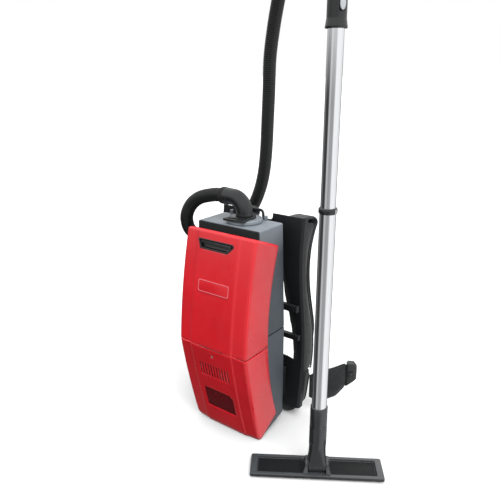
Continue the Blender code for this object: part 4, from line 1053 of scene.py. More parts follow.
def make_housings():
    """Two open grey shells behind the covers, and the lugs that the carry handle turns in."""
    low = (HOUSING_HALF, HOUSING_RIM_Y, HOUSING_BACK_Y, HOUSING_SPLIT_Z, HOUSING_SPLIT_Z)
    high = (HOUSING_TOP_HALF, HOUSING_RIM_Y, HOUSING_BACK_Y, HOUSING_TOP_Z, HOUSING_TOP_Z)
    upper = shell_box("housing_upper_skin", low, high, [-Y_AXIS], "upper_housing")
    carve(upper, rod_bm(0.0225, 0.04, (INLET_X, BOSS_Y, 0.55)))
    carve(upper, rod_bm(0.03, 0.02, (0.0, -0.008, 0.28)))
    bevelled(upper, 0.0006, 2, 50.0)
    lugs = boxes_bm([((0.007, 0.01, 0.012), (HANDLE_X + side * 0.0545, HANDLE_Y - 0.001, 0.5755))
                     for side in (-1, 1)], 0.0018, 3)
    smooth(add("handle_lugs", lugs, GREY, "unit"))
    toe_y, toe_z = -0.054, 0.0025
    top_z = HOUSING_SPLIT_Z - 0.0008
    low = (HOUSING_HALF, toe_y, HOUSING_BACK_Y, toe_z, 0.03)
    high = (HOUSING_HALF, HOUSING_RIM_Y, HOUSING_BACK_Y, top_z, top_z)
    lower = shell_box("housing_lower_skin", low, high, [-Y_AXIS, Z_AXIS], "lower_housing")
    bevelled(lower, 0.0006, 2, 50.0)


# ---------------------------------------------------------------- inlet, ring and carry handle
def make_inlet():
    """A low round boss with a groove in its top, and the elbow that turns from it to the left."""
    height = BOSS_TOP_Z - HOUSING_TOP_Z - GAP
    foot = (INLET_X, BOSS_Y, HOUSING_TOP_Z + GAP)
    profile = rounded([(0.022, height), (BOSS_RADIUS - 0.001, height), (BOSS_RADIUS, 0.0), (0.022, 0.0)],
                      0.0035, 5)
    groove = lathe_bm([(0.0385, height + 0.002), (0.04, height + 0.002), (0.04, height - 0.0009),
                       (0.0385, height - 0.0009)], foot, Z_AXIS, 96)
    boss = add("inlet_boss_skin", lathe_bm(profile, foot, Z_AXIS, 96), GREY, "unit", "inlet_boss")
    smooth(carve(boss, groove), 30.0)
    stem = [Vector((INLET_X, BOSS_Y, z)) for z in (0.546, 0.56, 0.575, 0.586, 0.5865, 0.59, 0.5905)]
    centre = (INLET_X - ELBOW_BEND, ELBOW_Z - ELBOW_BEND)
    bend = [Vector((u, BOSS_Y, v)) for u, v in arc(centre, ELBOW_BEND, 0, 90, 22)]
    end = [Vector((x, BOSS_Y, ELBOW_Z)) for x in (-0.0365, -0.037, -0.042, -0.0425, CUFF_X + GAP)]
    route = stem + bend + end
    collar_foot = len(stem) - 2
    collar_end = len(route) - 4

    def radius(i):
        if i >= collar_end or collar_foot - 2 < i <= collar_foot:
            return ELBOW_RADIUS
        return ELBOW_RADIUS - 0.0006

    elbow = add("inlet_elbow_skin", sweep_bm(route, radius, 48), BLACK, "unit", "inlet_elbow")
    smooth(elbow, 50.0)
    smooth(add("elbow_seam_rib", elbow_rib_bm(), BLACK, "unit"))


def elbow_rib_bm():
    """The thin moulding line along the elbow's outer side."""
    centre = (INLET_X - ELBOW_BEND, ELBOW_Z - ELBOW_BEND)
    line = arc(centre, ELBOW_BEND + ELBOW_RADIUS - 0.0006, 4, 86, 20)
    return sweep_bm([(u, BOSS_Y, v) for u, v in line], 0.0004, 8)


def cuff_profile(length, radius, mouth):
    """A soft cuff with a rolled end, a plain band and four finger rings."""
    profile = [(0.0, length), (mouth, length), (mouth + 0.0006, length - 0.0008)]
    rings = 4
    start, end = length * 0.86, length * 0.42
    for i in range(rings * 6 + 1):
        t = i / (rings * 6)
        swell = 0.0006 * (0.5 - 0.5 * math.cos(2 * math.pi * rings * t))
        base = mouth + 0.0008 + (radius - 0.001 - mouth) * t
        profile.append((base + swell, start + (end - start) * t))
    profile += [(radius - 0.0004, length * 0.36), (radius, length * 0.32), (radius, 0.0012),
                (radius - 0.0008, 0.0), (0.0, 0.0)]
    return profile


def make_cuffs():
    """The hose's two end cuffs."""
    inlet = lathe_bm(cuff_profile(0.0155, 0.0215, 0.0196), (CUFF_X, BOSS_Y, ELBOW_Z), -X_AXIS, 64)
    smooth(add("inlet_cuff_skin", inlet, RUBBER, "hose_cuff", "inlet_cuff"), 45.0)
    foot = grip_point(GRIP_LENGTH) + grip_direction() * GAP
    handle = lathe_bm(cuff_profile(0.05, 0.0225, 0.019), foot, grip_direction(), 64)
    smooth(add("handle_cuff_skin", handle, RUBBER, "grip_cuff", "handle_cuff"), 45.0)


def make_locking_ring():
    """A flat ring round the elbow's foot, drawn out to a corner with a three-sided window."""
    edge = [(-0.026, -0.053), (0.033, -0.045)] + arc((0.0, 0.0), 0.029, -25, 215, 40)
    window = rounded([(-0.021, -0.0465), (0.013, -0.0415), (-0.007, -0.03)], 0.002, 3)
    bore = arc((0.0, 0.0), ELBOW_RADIUS + 0.0006, 0, 354, 59)
    place = Matrix.Translation((INLET_X, BOSS_Y, BOSS_TOP_Z + GAP + 0.0025))
    ring = add("locking_ring_skin", plate_bm([edge, bore, window], 0.005, place), BLACK, "ring",
               "locking_ring")
    bevelled(ring, 0.0009, 3)


def make_carry_handle():
    """A bow of round rod with a ribbed middle and a pin at each end."""
    half = [(HANDLE_HALF, HANDLE_PIVOT_Z), (HANDLE_HALF, 0.5835), (0.0452, 0.588), (0.0432, 0.5912),
            (0.0405, 0.5931), (0.037, 0.5938), (0.018, 0.594)]
    outline = [(-x, z) for x, z in half] + half[::-1]
    route = evenly(smooth_route([(HANDLE_X + x, HANDLE_Y, z) for x, z in outline], 5), 0.0016)
    count = len(route)

    def radius(i):
        share = abs(i / (count - 1) - 0.5) * 2
        if share < 0.52:
            return 0.0038 - 0.0003 * (0.5 - 0.5 * math.cos(2 * math.pi * i / 3))
        return 0.0034

    handle = sweep_bm(route, radius, 24)
    for side in (-1, 1):
        end = (HANDLE_X + side * HANDLE_HALF, HANDLE_Y, HANDLE_PIVOT_Z)
        merge(handle, rod_bm(0.003, 0.0042, end, X_AXIS * side, 20))
    smooth(add("carry_handle_skin", handle, BLACK, "carry", "carry_handle"), 60.0)


def make_gland():
    """A ribbed rubber sleeve that tapers away from the housing."""
    profile = [(0.0, 0.024), (0.0034, 0.024), (0.0042, 0.0232)]
    for i in range(5):
        z = 0.0215 - i * 0.003
        base = 0.0044 + 0.0003 * i
        profile += [(base, z + 0.001), (base, z), (base - 0.0007, z - 0.0004), (base - 0.0007, z - 0.0016)]
    profile += [(0.0058, 0.0066), (0.008, 0.006), (0.0085, 0.005), (0.0085, 0.0), (0.0, 0.0)]
    gland = lathe_bm(profile, (-HOUSING_HALF - GAP, *GLAND_YZ), -X_AXIS, 32)
    smooth(add("cable_gland_skin", gland, RUBBER, "unit", "cable_gland"), 45.0)


# ---------------------------------------------------------------- wand
def tube_bm(radius, low, high):
    """A thin tube with rounded rims."""
    wall = 0.0012
    profile = [(radius - wall, high), (radius - wall / 2, high + 0.0002), (radius, high - 0.0004),
               (radius, low + 0.0004), (radius - 0.0004, low), (radius - wall, low)]
    return lathe_bm(profile, on_wand(0.0), Z_AXIS, 96)


def make_tubes():
    """Two chromed tubes, one in the other; the upper one has a groove along its length."""
    low, high = low_high("lower_tube")
    smooth(add("lower_tube_skin", tube_bm(LOWER_TUBE, low, high), CHROME, "lower_wand", "lower_tube"))
    low, high = low_high("upper_tube")
    upper = add("upper_tube_skin", tube_bm(UPPER_TUBE, low, high), CHROME, "wand", "upper_tube")
    turn = Matrix.Rotation(math.radians(52.0), 4, "Z")
    place = Matrix.Translation(on_wand(0.0)) @ turn
    groove = box_bm((0.0014, 0.003, high - low - 0.09), (0.0163, 0.0, (low + high) / 2 - 0.01), 0.0006)
    carve(upper, placed(groove, place))
    smooth(upper)


def make_tube_collar():
    """The sleeve at the tubes' joint, with a notch and a small slide that holds the upper tube."""
    low, high = low_high("tube_collar")
    profile = [(TUBE_BORE, high), (0.0182, high), (0.019, high - 0.0006), (0.0198, high - 0.003),
               (0.0198, low + 0.0022), (0.0193, low + 0.0004), (0.0188, low), (TUBE_BORE, low)]
    collar = lathe_bm(profile, on_wand(0.0), Z_AXIS, 72)
    collar = add("tube_collar_skin", collar, BLACK, "lower_wand", "tube_collar")
    turn = Matrix.Translation(on_wand(0.0)) @ Matrix.Rotation(math.radians(-4.0), 4, "Z")
    notch = placed(box_bm((0.004, 0.0062, 0.012), (0.0205, 0.0, (low + high) / 2 - 0.001), 0.001, 2), turn)
    carve(collar, notch)
    bevelled(collar, 0.0003, 2, 50.0)
    slide = placed(box_bm((0.0022, 0.0052, 0.01), (0.0192, 0.0, (low + high) / 2 - 0.001), 0.0008, 3), turn)
    smooth(add("collar_slide", slide, STEEL, "lower_wand"))


def button_place():
    """The button's own frame: local X points out of the grip."""
    place = Matrix.Rotation(BUTTON_YAW, 4, "Z")
    place.translation = on_wand(BUTTON_Z) + place.to_3x3() @ X_AXIS * (GRIP_RADIUS - 0.0004)
    return place


def make_grip():
    """A bent hand grip with a flared foot, shallow finger waves along it and a well for the button."""
    count = 110
    line = [grip_point(GRIP_LENGTH * i / count) for i in range(count + 1)]

    def radius(i):
        along = GRIP_LENGTH * i / count
        size = GRIP_RADIUS
        if 0.085 < along < 0.165:
            size -= 0.0008 * (0.5 - 0.5 * math.cos(2 * math.pi * (along - 0.085) / 0.02))
        if along > GRIP_LENGTH - 0.004:
            size -= 0.0006
        return size

    grip = add("hand_grip_skin", sweep_bm(line, radius, 48), BLACK, "wand", "hand_grip")
    well = box_bm((0.004, 0.0128, 0.0268), (0.0, 0.0, 0.0), 0.0018, 3)
    carve(grip, placed(well, button_place()))
    rim = [(0.0, 0.0195), (0.0186, 0.0195), (0.0196, 0.014), (0.0208, 0.006), (0.0212, 0.0042),
           (0.0212, 0.0008), (0.0206, 0.0), (0.0, 0.0)]
    carve(grip, lathe_bm(rim, on_wand(GRIP_BASE_Z - 0.002), Z_AXIS, 71), "UNION")
    carve(grip, rod_bm(TUBE_BORE, 0.075, on_wand(GRIP_BASE_Z - 0.02), Z_AXIS, 66))
    smooth(grip, 42.0)


def make_release_button():
    """A flat oval button that stands upright in the grip's well."""
    oval = [(u, v * 2.1) for u, v in arc((0.0, 0.0), 0.0058, 0, 350, 35)]
    standing = Matrix.Rotation(math.radians(90.0), 4, "Z") @ Matrix.Rotation(math.radians(90.0), 4, "X")
    place = button_place() @ Matrix.Translation((0.0016, 0.0, 0.0)) @ standing
    button = add("release_button_skin", plate_bm([oval], 0.0034, place), PALE, "button", "release_button")
    bevelled(button, 0.0011, 4)


def make_air_slider():
    """A ribbed sleeve over the grip's air hole."""
    inner, outer, height = GRIP_RADIUS + 0.0005, GRIP_RADIUS + 0.003, 0.022
    groove = outer - 0.0005
    profile = [(inner, height), (outer - 0.0008, height), (outer - 0.0002, height - 0.0008)]
    for i in range(7):
        z = height - 0.003 - i * 0.0026
        profile += [(outer, z + 0.0008), (outer, z), (groove, z - 0.0004), (groove, z - 0.0014)]
    profile += [(outer - 0.0008, 0.0), (inner, 0.0)]
    sleeve = lathe_bm(profile, grip_point(GRIP_LENGTH - 0.058), grip_direction(), 64)
    smooth(add("air_slider_skin", sleeve, PALE, "air_ring", "air_slider"), 45.0)


# ---------------------------------------------------------------- floor tool
def tool_place():
    """The tool's own frame: local X is along the tool, and the origin is on the floor under the wand."""
    place = Matrix.Rotation(TOOL_YAW, 4, "Z")
    place.translation = on_wand(0.0)
    return place


def make_tool_neck():
    """A sleeve for the tube that flows down into a broad hub."""
    low, high = 0.078, 0.187
    place = tool_place()
    profile = [(0.0, 0.104), (0.0178, 0.104), (0.0178, high), (0.0192, high), (0.02, high - 0.0012),
               (0.02, 0.137), (0.0196, 0.1355), (0.0196, 0.134), (0.0203, 0.1325), (0.0205, low + 0.01),
               (0.02, low), (0.0, low)]
    sleeve = lathe_bm(profile, on_wand(0.0), Z_AXIS, 72)
    neck = add("tool_neck_skin", sleeve, SLATE, "neck", "tool_neck")
    rings = []
    levels = 12
    for i in range(levels + 1):
        t = i / levels
        z = TOOL_PIVOT_Z - 0.002 + (low + 0.014 - TOOL_PIVOT_Z + 0.002) * t
        ease = t * t * (3 - 2 * t)
        half_a = 0.0206 + (0.0196 - 0.0206) * ease
        half_b = 0.0205 + (0.0196 - 0.0205) * ease
        round_off = 0.006 + 0.0136 * ease
        rings.append(raised(rounded_rectangle(half_a, half_b, round_off, 6), place, z))
    carve(neck, loft_bm(rings), "UNION")
    hub = lathe_bm([(0.0, 0.0), (0.02, 0.0), (0.021, 0.001), (0.021, 0.041), (0.02, 0.042),
                    (0.0, 0.042)], place @ Vector((-0.021, 0.0, TOOL_PIVOT_Z)), place.to_3x3() @ X_AXIS)
    carve(neck, hub, "UNION")
    smooth(neck, 40.0)


def tool_ring(half_u, half_v, radius, steps, height, centre=0.0):
    """A level rounded rectangle in the floor tool's body."""
    outline = rounded_rectangle(half_u, half_v, radius, steps)
    return raised([(centre + u, v + TOOL_SHIFT) for u, v in outline], tool_place(), height)


def make_channel(body, side, word):
    """Cut one of the two long channels in the tool's top, raise the ear beside it and line its floor with a
    darker sheet, painted shade.
    """
    inner, outer = 0.034, TOOL_LENGTH / 2 - 0.017
    middle, half = side * (inner + outer) / 2, (outer - inner) / 2
    levels = ((0.0078, -0.0014), (0.0084, -0.0004), (TOOL_TOP_Z - 0.001, 0.0006),
              (TOOL_TOP_Z + 0.004, 0.0024))
    carve(body, loft_bm([tool_ring(half + grow, TOOL_DEPTH / 2 - 0.0105 + grow, 0.003, 4, z, middle)
                         for z, grow in levels]))
    carve(body, cheek_bm(tool_place(), side), "UNION")
    # a darker sheet on the channel's floor: painted shade
    lying = tool_place() @ Matrix.Translation((middle, TOOL_SHIFT, 0.008))
    liner = plate_bm([rounded_rectangle(half - 0.0016, TOOL_DEPTH / 2 - 0.0121, 0.0025, 4)], 0.0006, lying)
    smooth(add("tool_channel_liner_" + word, liner, CHANNEL_SHADE, "tool"))


def make_floor_tool():
    """A long low body: a raised border, a channel each side, cheeks for the hub and a mouth below."""
    place = tool_place()
    levels = ((TOOL_BASE_Z, 0.001), (TOOL_BASE_Z + 0.001, 0.0), (TOOL_TOP_Z - 0.002, 0.0),
              (TOOL_TOP_Z - 0.0006, 0.0007), (TOOL_TOP_Z, 0.0022))
    rings = [tool_ring(TOOL_LENGTH / 2 - inset, TOOL_DEPTH / 2 - inset, 0.005, 5, z) for z, inset in levels]
    body = add("floor_tool_skin", loft_bm(rings), SLATE, "tool", "floor_tool")
    for side, word in SIDES:
        make_channel(body, side, word)
    seat = place @ Vector((-0.0216, 0.0, TOOL_PIVOT_Z))
    carve(body, rod_bm(0.0218, 0.0432, seat, place.to_3x3() @ X_AXIS, 60))
    for size in ((0.03, 0.012, 0.03), (0.25, 0.01, 0.006)):
        carve(body, placed(box_bm(size, (0.0, 0.0, 0.0035)), place))
    bevelled(body, 0.0006, 2, 45.0)


def cheek_bm(place, side):
    """One ear beside the hub: broad at the body's edges and narrowing to a round top over the pivot."""
    rings = []
    top = TOOL_PIVOT_Z + 0.013
    levels = 10
    for i in range(levels + 1):
        t = i / levels
        z = 0.0095 + (top - 0.0095) * t
        half_b = 0.027 - 0.0125 * math.sin(t * math.pi / 2) ** 1.5 - 0.005 * max(0.0, t - 0.8) * 5
        outer = 0.0272 + 0.0085 * (1 - t) ** 2
        ring = [(0.0219, -half_b), (outer - 0.0015, -half_b), (outer, -half_b + 0.0015),
                (outer, half_b - 0.0015), (outer - 0.0015, half_b), (0.0219, half_b)]
        rings.append(raised([(side * a, b) for a, b in ring], place, z))
    return loft_bm(rings)


def make_brush_strip():
    """A strip of close-set tufts round the mouth, on a thin base."""
    place = tool_place()
    high = 0.0037
    edge = rounded_rectangle(0.154, TOOL_DEPTH / 2 - 0.006, 0.004, 3)
    hole = rounded_rectangle(0.146, TOOL_DEPTH / 2 - 0.014, 0.003, 3)
    bm = plate_bm([edge, hole], 0.001, place @ Matrix.Translation((0.0, TOOL_SHIFT, high - 0.0005)))
    middle = rounded_rectangle(0.15, TOOL_DEPTH / 2 - 0.01, 0.004, 4)
    loop = raised([(u, v + TOOL_SHIFT) for u, v in middle + middle[:1]], place, 0.0)
    for i, foot in enumerate(evenly(loop, 0.0026)[:-1]):
        lean = Vector((math.sin(i * 2.4), math.cos(i * 1.7), 0.0)) * 0.0003
        add_tube(bm, [foot + Z_AXIS * (high - 0.0008), foot + lean], (0.0011, 0.0015), 7)
    smooth(add("bristle_tufts", bm, BRISTLE, "tool", "brush_strip"))


# ---------------------------------------------------------------- harness
def frame_y(z):
    """Front surface of the S-shaped back frame."""
    return 0.0915 - 0.0125 * math.cos(math.pi * (z - 0.47) / 0.27)


def pad_y(z):
    """Surface of the padding towards the wearer."""
    flare = max(0.0, z - 0.47)
    return 0.155 - 0.021 * math.cos(math.pi * (z - 0.43) / 0.24) + 2.0 * flare * flare


PAD_GAP = 0.0058
PAD_OUT = 0.1272
BACK_PAD_Z = (0.1225, 0.55)
# height, and where the back pads' inner edge is there
PAD_INNER = ((0.124, 0.088), (0.18, 0.088), (0.25, 0.082), (0.34, 0.066), (0.42, 0.06), (0.552, 0.06))
# height, and half width of the lumbar pad there
LUMBAR_HALF = ((0.0, 0.096), (0.006, 0.106), (0.014, 0.116), (0.026, 0.1245), (0.04, PAD_OUT),
               (0.12, PAD_OUT))
WING_ROOT = Vector((0.1365, 0.1313))
WING_TIP = Vector((0.245, 0.187))
WING_THICK = 0.014
# distance along a wing, and the height of its lower or upper edge there
WING_LOW = ((0.0, 0.048), (0.012, 0.046), (0.045, 0.05), (0.075, 0.066), (0.092, 0.088), (0.099, 0.098))
WING_HIGH = ((0.0, 0.118), (0.012, 0.128), (0.045, 0.146), (0.075, 0.16), (0.092, 0.168), (0.099, 0.17))
BUCKLE_Z = 0.1165
SWITCH_ALONG = 0.112
SWITCH_Z = 0.138
STRAP_X = 0.094
STRAP_HALF = 0.0245
STRAP_HALF_THICK = 0.0043
PUFFED = []                               # padded pieces, and how far the simulation may move their points


def add_cloth(obj):
    cloth = modify(obj, "CLOTH")
    cloth.settings.use_pressure = True
    cloth.settings.uniform_pressure_force = PUFF_PRESSURE
    cloth.settings.effector_weights.gravity = 0.0
    cloth.settings.quality = 4
    cloth.settings.tension_stiffness = 12.0
    cloth.settings.compression_stiffness = 12.0
    cloth.settings.bending_stiffness = 0.4
    cloth.collision_settings.use_collision = False


def simulate():
    """Inflate all padded pieces in one short cloth run; each point only moves outwards, and only so far."""
    scene = bpy.context.scene
    starts, normals = [], []
    for obj, _ in PUFFED:
        starts.append(np.array([v.co for v in obj.data.vertices], float))
        normals.append(np.array([v.normal for v in obj.data.vertices], float))
        add_cloth(obj)
    for number in range(1, PUFF_FRAMES + 1):
        scene.frame_set(number)
    for (obj, cap), start, normal in zip(PUFFED, starts, normals):
        bake(obj)
        move = np.array([v.co for v in obj.data.vertices], float) - start
        away = (move * normal).sum(axis=1, keepdims=True)
        slip = move - away * normal
        move = np.maximum(away, 0.0) * normal + slip * 0.3
        length = np.linalg.norm(move, axis=1, keepdims=True)
        move *= np.minimum(1.0, cap / np.maximum(length, 1e-9))
        obj.data.vertices.foreach_set("co", (start + move).astype(np.float32).ravel())
        obj.data.update()
    scene.frame_set(1)


def soften(obj):
    """One subdivision after the simulation, so that the cloth's folds are smooth."""
    modify(obj, "SUBSURF", levels=1, render_levels=1)
    return smooth(bake(obj), 80.0)


def cushion(name, rings, mat, node, cap, voxel=0.006):
    """A padded piece: a closed loft, remeshed evenly and puffed up by the simulation."""
    obj = add(name, loft_bm(rings), mat, "unit", node)
    modify(obj, "REMESH", mode="VOXEL", voxel_size=voxel, use_smooth_shade=True)
    bake(obj)
    PUFFED.append((obj, cap))


def between(table, value):
    """Read a table of (value, result) pairs, with straight lines between its rows."""
    return float(np.interp(value, [row[0] for row in table], [row[1] for row in table]))


def pad_rings(spans, side, shrink):
    """Level rings of a pad that follows the frame's S; spans are its (z, inner x, outer x) levels."""
    rings = []
    last = len(spans) - 1
    for i, (z, half_in, half_out) in enumerate(spans):
        tuck = shrink * 1.3 if i in (0, last) else shrink
        y_low, y_high = frame_y(z) + PAD_GAP + shrink * 0.4, pad_y(z) - tuck
        x_in, x_out = half_in + tuck, half_out - tuck
        outline = rounded([(x_in, y_low), (x_out, y_low), (x_out, y_high), (x_in, y_high)], 0.008, 3)
        rings.append([(side * x, y, z) for x, y in outline])
    return rings


def make_back_pads():
    """Two long pads, each with a corded edge and stitched cross seams."""
    low, high = BACK_PAD_Z
    levels = np.linspace(low, high, 23).tolist()
    spans = [(z, between(PAD_INNER, z), PAD_OUT) for z in levels]
    for side, word in SIDES:
        rings = pad_rings(spans, side, 0.004)
        cushion("back_pad_cushion_" + word, rings, SPACER, "back_pad_" + word, 0.0045)
        add_pad_trim(word, side, low, high)


def pad_edge(side, low, high, inset, lift):
    """A closed loop near the pad's edge on the wearer's side."""
    right = PAD_OUT - inset
    heights = [low + inset + (high - low - 2 * inset) * i / 24 for i in range(25)]
    loop = [(side * (between(PAD_INNER, z) + inset), pad_y(z) + lift, z) for z in heights]
    for z in (high - inset, low + inset):
        across = np.linspace(between(PAD_INNER, z) + inset, right, 6)[1:-1]
        if z == low + inset:
            loop += [(side * right, pad_y(h) + lift, h) for h in reversed(heights)]
            across = across[::-1]
        loop += [(side * x, pad_y(z) + lift, z) for x in across]
    return loop


def add_pad_trim(word, side, low, high):
    """A cord near a back pad's edge, and three rows of stitches across it."""
    cord = pad_edge(side, low, high, 0.0032, -0.01)
    smooth(add("back_pad_piping_" + word, sweep_bm(cord, 0.0021, 10, closed=True), PADDING, "unit"), 60)
    seams = bmesh.new()
    for z in (0.235, 0.335, 0.44):
        inner = between(PAD_INNER, z) + 0.01
        line = [(side * x, pad_y(z) - 0.0014, z) for x in np.linspace(inner, PAD_OUT - 0.01, 9)]
        merge(seams, stitches_bm([Vector(p) for p in line]))
    add("back_pad_stitches_" + word, seams, THREAD, "unit")


def make_lumbar_pad():
    """The broad low pad that carries the hip belt; its wearer's side is spacer mesh."""
    levels = [0.0045, 0.01, 0.018, 0.03, 0.05, 0.07, 0.09, 0.108, 0.1205]
    spans = [(z, -between(LUMBAR_HALF, z), between(LUMBAR_HALF, z)) for z in levels]
    rings = pad_rings(spans, 1, 0.0042)
    cushion("lumbar_cushion", rings, SPACER, "lumbar_pad", 0.0045)
    loop = []
    corners = [(-0.102, 0.01), (0.102, 0.01), (0.121, 0.032), (0.121, 0.11), (-0.121, 0.11),
               (-0.121, 0.032)]
    for x, z in rounded(corners, 0.014, 6):
        loop.append((x, pad_y(z) - 0.006, z))
    smooth(add("lumbar_piping", sweep_bm(loop, 0.0022, 10, closed=True), PADDING, "unit"), 60)
    seams = bmesh.new()
    for x in (-0.045, 0.045):
        line = [Vector((x, pad_y(z) - 0.0024, z)) for z in np.linspace(0.02, 0.102, 9)]
        merge(seams, stitches_bm(line))
    add("lumbar_stitches", seams, THREAD, "unit")


def strap_line():
    """The shoulder strap's middle line in the Y-Z plane."""
    off = 0.0073                          # half the strap's thickness and a little air
    over = [(frame_y(0.57) + 0.0065, 0.569), (0.114, 0.568), (0.148, 0.5655), (0.1665, 0.56),
            (0.174, 0.549)]
    levels = (0.535, 0.515, 0.49, 0.46, 0.43, 0.4, 0.36, 0.32, 0.28, 0.24, 0.21)
    down = [(pad_y(z) + off, z) for z in levels]
    return [Vector((0.0, y, z)) for y, z in over + down]


def band_bm(line, centre_x, half_width, half_thick, section, ease=None):
    """A flat band along a line in the Y-Z plane; section is a list of (across, off) factors."""
    rings = []
    count = len(line)
    for i, point in enumerate(line):
        ahead = line[min(i + 1, count - 1)] - line[max(i - 1, 0)]
        normal = Vector((0.0, -ahead.z, ahead.y)).normalized()
        share = ease(i / (count - 1)) if ease else 1.0
        rings.append([Vector((centre_x + u * half_width * share, 0.0, 0.0)) + point + normal * v * half_thick
                      for u, v in section])
    return loft_bm(rings)


def strap_section():
    """A flat band's section with rounded edges, in half widths and half thicknesses."""
    turns = [2 * math.pi * i / 24 for i in range(24)]
    return [(math.copysign(abs(math.cos(turn)) ** 0.35, math.cos(turn)),
             math.copysign(abs(math.sin(turn)) ** 0.55, math.sin(turn))) for turn in turns]


def strap_ease(t):
    """The strap's width as a share of its full width: it narrows towards its lower end."""
    return 1.0 - 0.22 * max(0.0, (t - 0.86) / 0.14) ** 2


def strap_binding_bm(line, x):
    """A cord along each edge of a strap."""
    cords = bmesh.new()
    last = len(line) - 1
    for edge in (-1, 1):
        edging = [point + X_AXIS * (x + edge * 0.024 * strap_ease(i / last)) for i, point in enumerate(line)]
        merge(cords, sweep_bm(edging, 0.0024, 10))
    return cords


def strap_stitches_bm(line, x):
    """A row of stitches beside each edge of a strap, on its outer side."""
    rows = bmesh.new()
    for edge in (-1, 1):
        sewn = []
        for before, point, after in zip(line[1:], line[2:-2], line[3:]):
            ahead = after - before
            out = Vector((0.0, -ahead.z, ahead.y)).normalized()
            sewn.append(point + X_AXIS * (x + edge * 0.0195) + out * 0.0042)
        merge(rows, stitches_bm(sewn))
    return rows


def make_shoulder_straps():
    """Contoured padded straps with bound edges and two rows of stitches."""
    line = evenly(smooth_route(strap_line(), 8), 0.004)
    for side, word in SIDES:
        x = side * STRAP_X
        pad = band_bm(line, x, STRAP_HALF, STRAP_HALF_THICK, strap_section(), strap_ease)
        strap = add("shoulder_strap_pad_" + word, pad, PADDING, "unit", "shoulder_strap_" + word)
        smooth(strap, 70)
        smooth(add("shoulder_strap_binding_" + word, strap_binding_bm(line, x), WEBBING, "unit"), 60)
        stitches = strap_stitches_bm(line, x)
        add("shoulder_strap_stitches_" + word, stitches, THREAD, "unit", slot="webbing")


# a flat woven tape with slightly thicker selvedges, in half widths and half thicknesses
WEBBING_SECTION = ((-1.0, -0.6), (-0.9, -1.0), (-0.8, -0.75), (0.8, -0.75), (0.9, -1.0), (1.0, -0.6),
                   (1.0, 0.6), (0.9, 1.0), (0.8, 0.75), (-0.8, 0.75), (-0.9, 1.0), (-1.0, 0.6))
STITCH_ROW = np.linspace(-0.01, 0.01, 5)


def make_strap_webbing():
    """The strap's adjusting tape below the ladder buckle, with a folded and sewn end."""
    for side, word in SIDES:
        x = side * STRAP_X
        heights = [0.184 - 0.058 * i / 16 for i in range(17)]
        line = [Vector((0.0, pad_y(z) + 0.004, z)) for z in heights]
        tape = band_bm(line, x, 0.0125, 0.0008, WEBBING_SECTION)
        fold = [Vector((0.0, pad_y(z) + 0.0053, z)) for z in (0.1405, 0.136, 0.131, 0.1275)]
        merge(tape, band_bm(fold, x, 0.0124, 0.0006, WEBBING_SECTION))
        merge(tape, stitches_bm([Vector((x + u, pad_y(0.1385) + 0.0061, 0.1385)) for u in STITCH_ROW]))
        smooth(add("strap_tape_" + word, tape, WEBBING, "unit", "strap_webbing_" + word), 50)


def make_ladder_buckles():
    """Three-bar slides with two slots and a curled lower lip."""
    edge = rounded_rectangle(0.017, 0.011, 0.003, 4)
    slot = rounded_rectangle(0.0132, 0.0021, 0.0015, 3)
    slots = [[(u, v + shift) for u, v in slot] for shift in (-0.0045, 0.0045)]
    for side, word in SIDES:
        lean = math.radians(4.0)
        place = Matrix.Translation((side * STRAP_X, pad_y(0.195) + 0.01, 0.196))
        place = place @ Matrix.Rotation(math.radians(-90.0) + lean, 4, "X")
        bm = plate_bm([edge] + slots, 0.0032, place)
        lip = placed(box_bm((0.03, 0.003, 0.003), (0.0, 0.0092, -0.002), 0.0012, 3), place)
        merge(bm, lip)
        buckle = add("ladder_buckle_skin_" + word, bm, BLACK, "unit", "ladder_buckle_" + word)
        bevelled(buckle, 0.0007, 2)


def wing_point(along, off, z, side):
    """A point on a belt wing: along it from its root, and off its slightly sagging middle surface."""
    run = (WING_TIP - WING_ROOT).normalized()
    normal = Vector((-run.y, run.x))
    sag = 0.01 * math.sin(math.pi * min(1.0, max(0.0, along / 0.127)))
    plan = WING_ROOT + run * along + normal * (off - sag)
    return Vector((side * plan.x, plan.y, z))


def wing_levels(along):
    """Low and high edges of the hip-belt wing at a distance along it."""
    return between(WING_LOW, along), between(WING_HIGH, along)


def make_hip_belt():
    """Two curved padded wings with corded edges, and tape along the wearer's side."""
    shrink = 0.0026
    for side, word in SIDES:
        rings = []
        for i in range(13):
            along = 0.0015 + 0.101 * i / 12
            low, high = wing_levels(along)
            deep = WING_THICK / 2 - shrink - (0.002 if i == 0 else 0.0)
            outline = rounded([(-deep, low + shrink), (deep, low + shrink), (deep, high - shrink),
                               (-deep, high - shrink)], 0.004, 3)
            rings.append([wing_point(along, off, z, side) for off, z in outline])
        cushion("hip_belt_cushion_" + word, rings, PADDING, "hip_belt_" + word, 0.003, 0.0045)
        alongs = [0.003 + 0.093 * i / 20 for i in range(21)]
        loop = [wing_point(a, 0.0, wing_levels(a)[1] - 0.0026, side) for a in alongs]
        loop += [wing_point(0.0962, 0.0, z, side) for z in np.linspace(0.16, 0.106, 5)]
        loop += [wing_point(a, 0.0, wing_levels(a)[0] + 0.0026, side) for a in reversed(alongs)]
        loop += [wing_point(0.003, 0.0, z, side) for z in np.linspace(0.056, 0.11, 4)]
        smooth(add("hip_belt_piping_" + word, sweep_bm(loop, 0.0019, 10, closed=True), WEBBING, "unit"), 60)
        make_belt_tape(side, word)


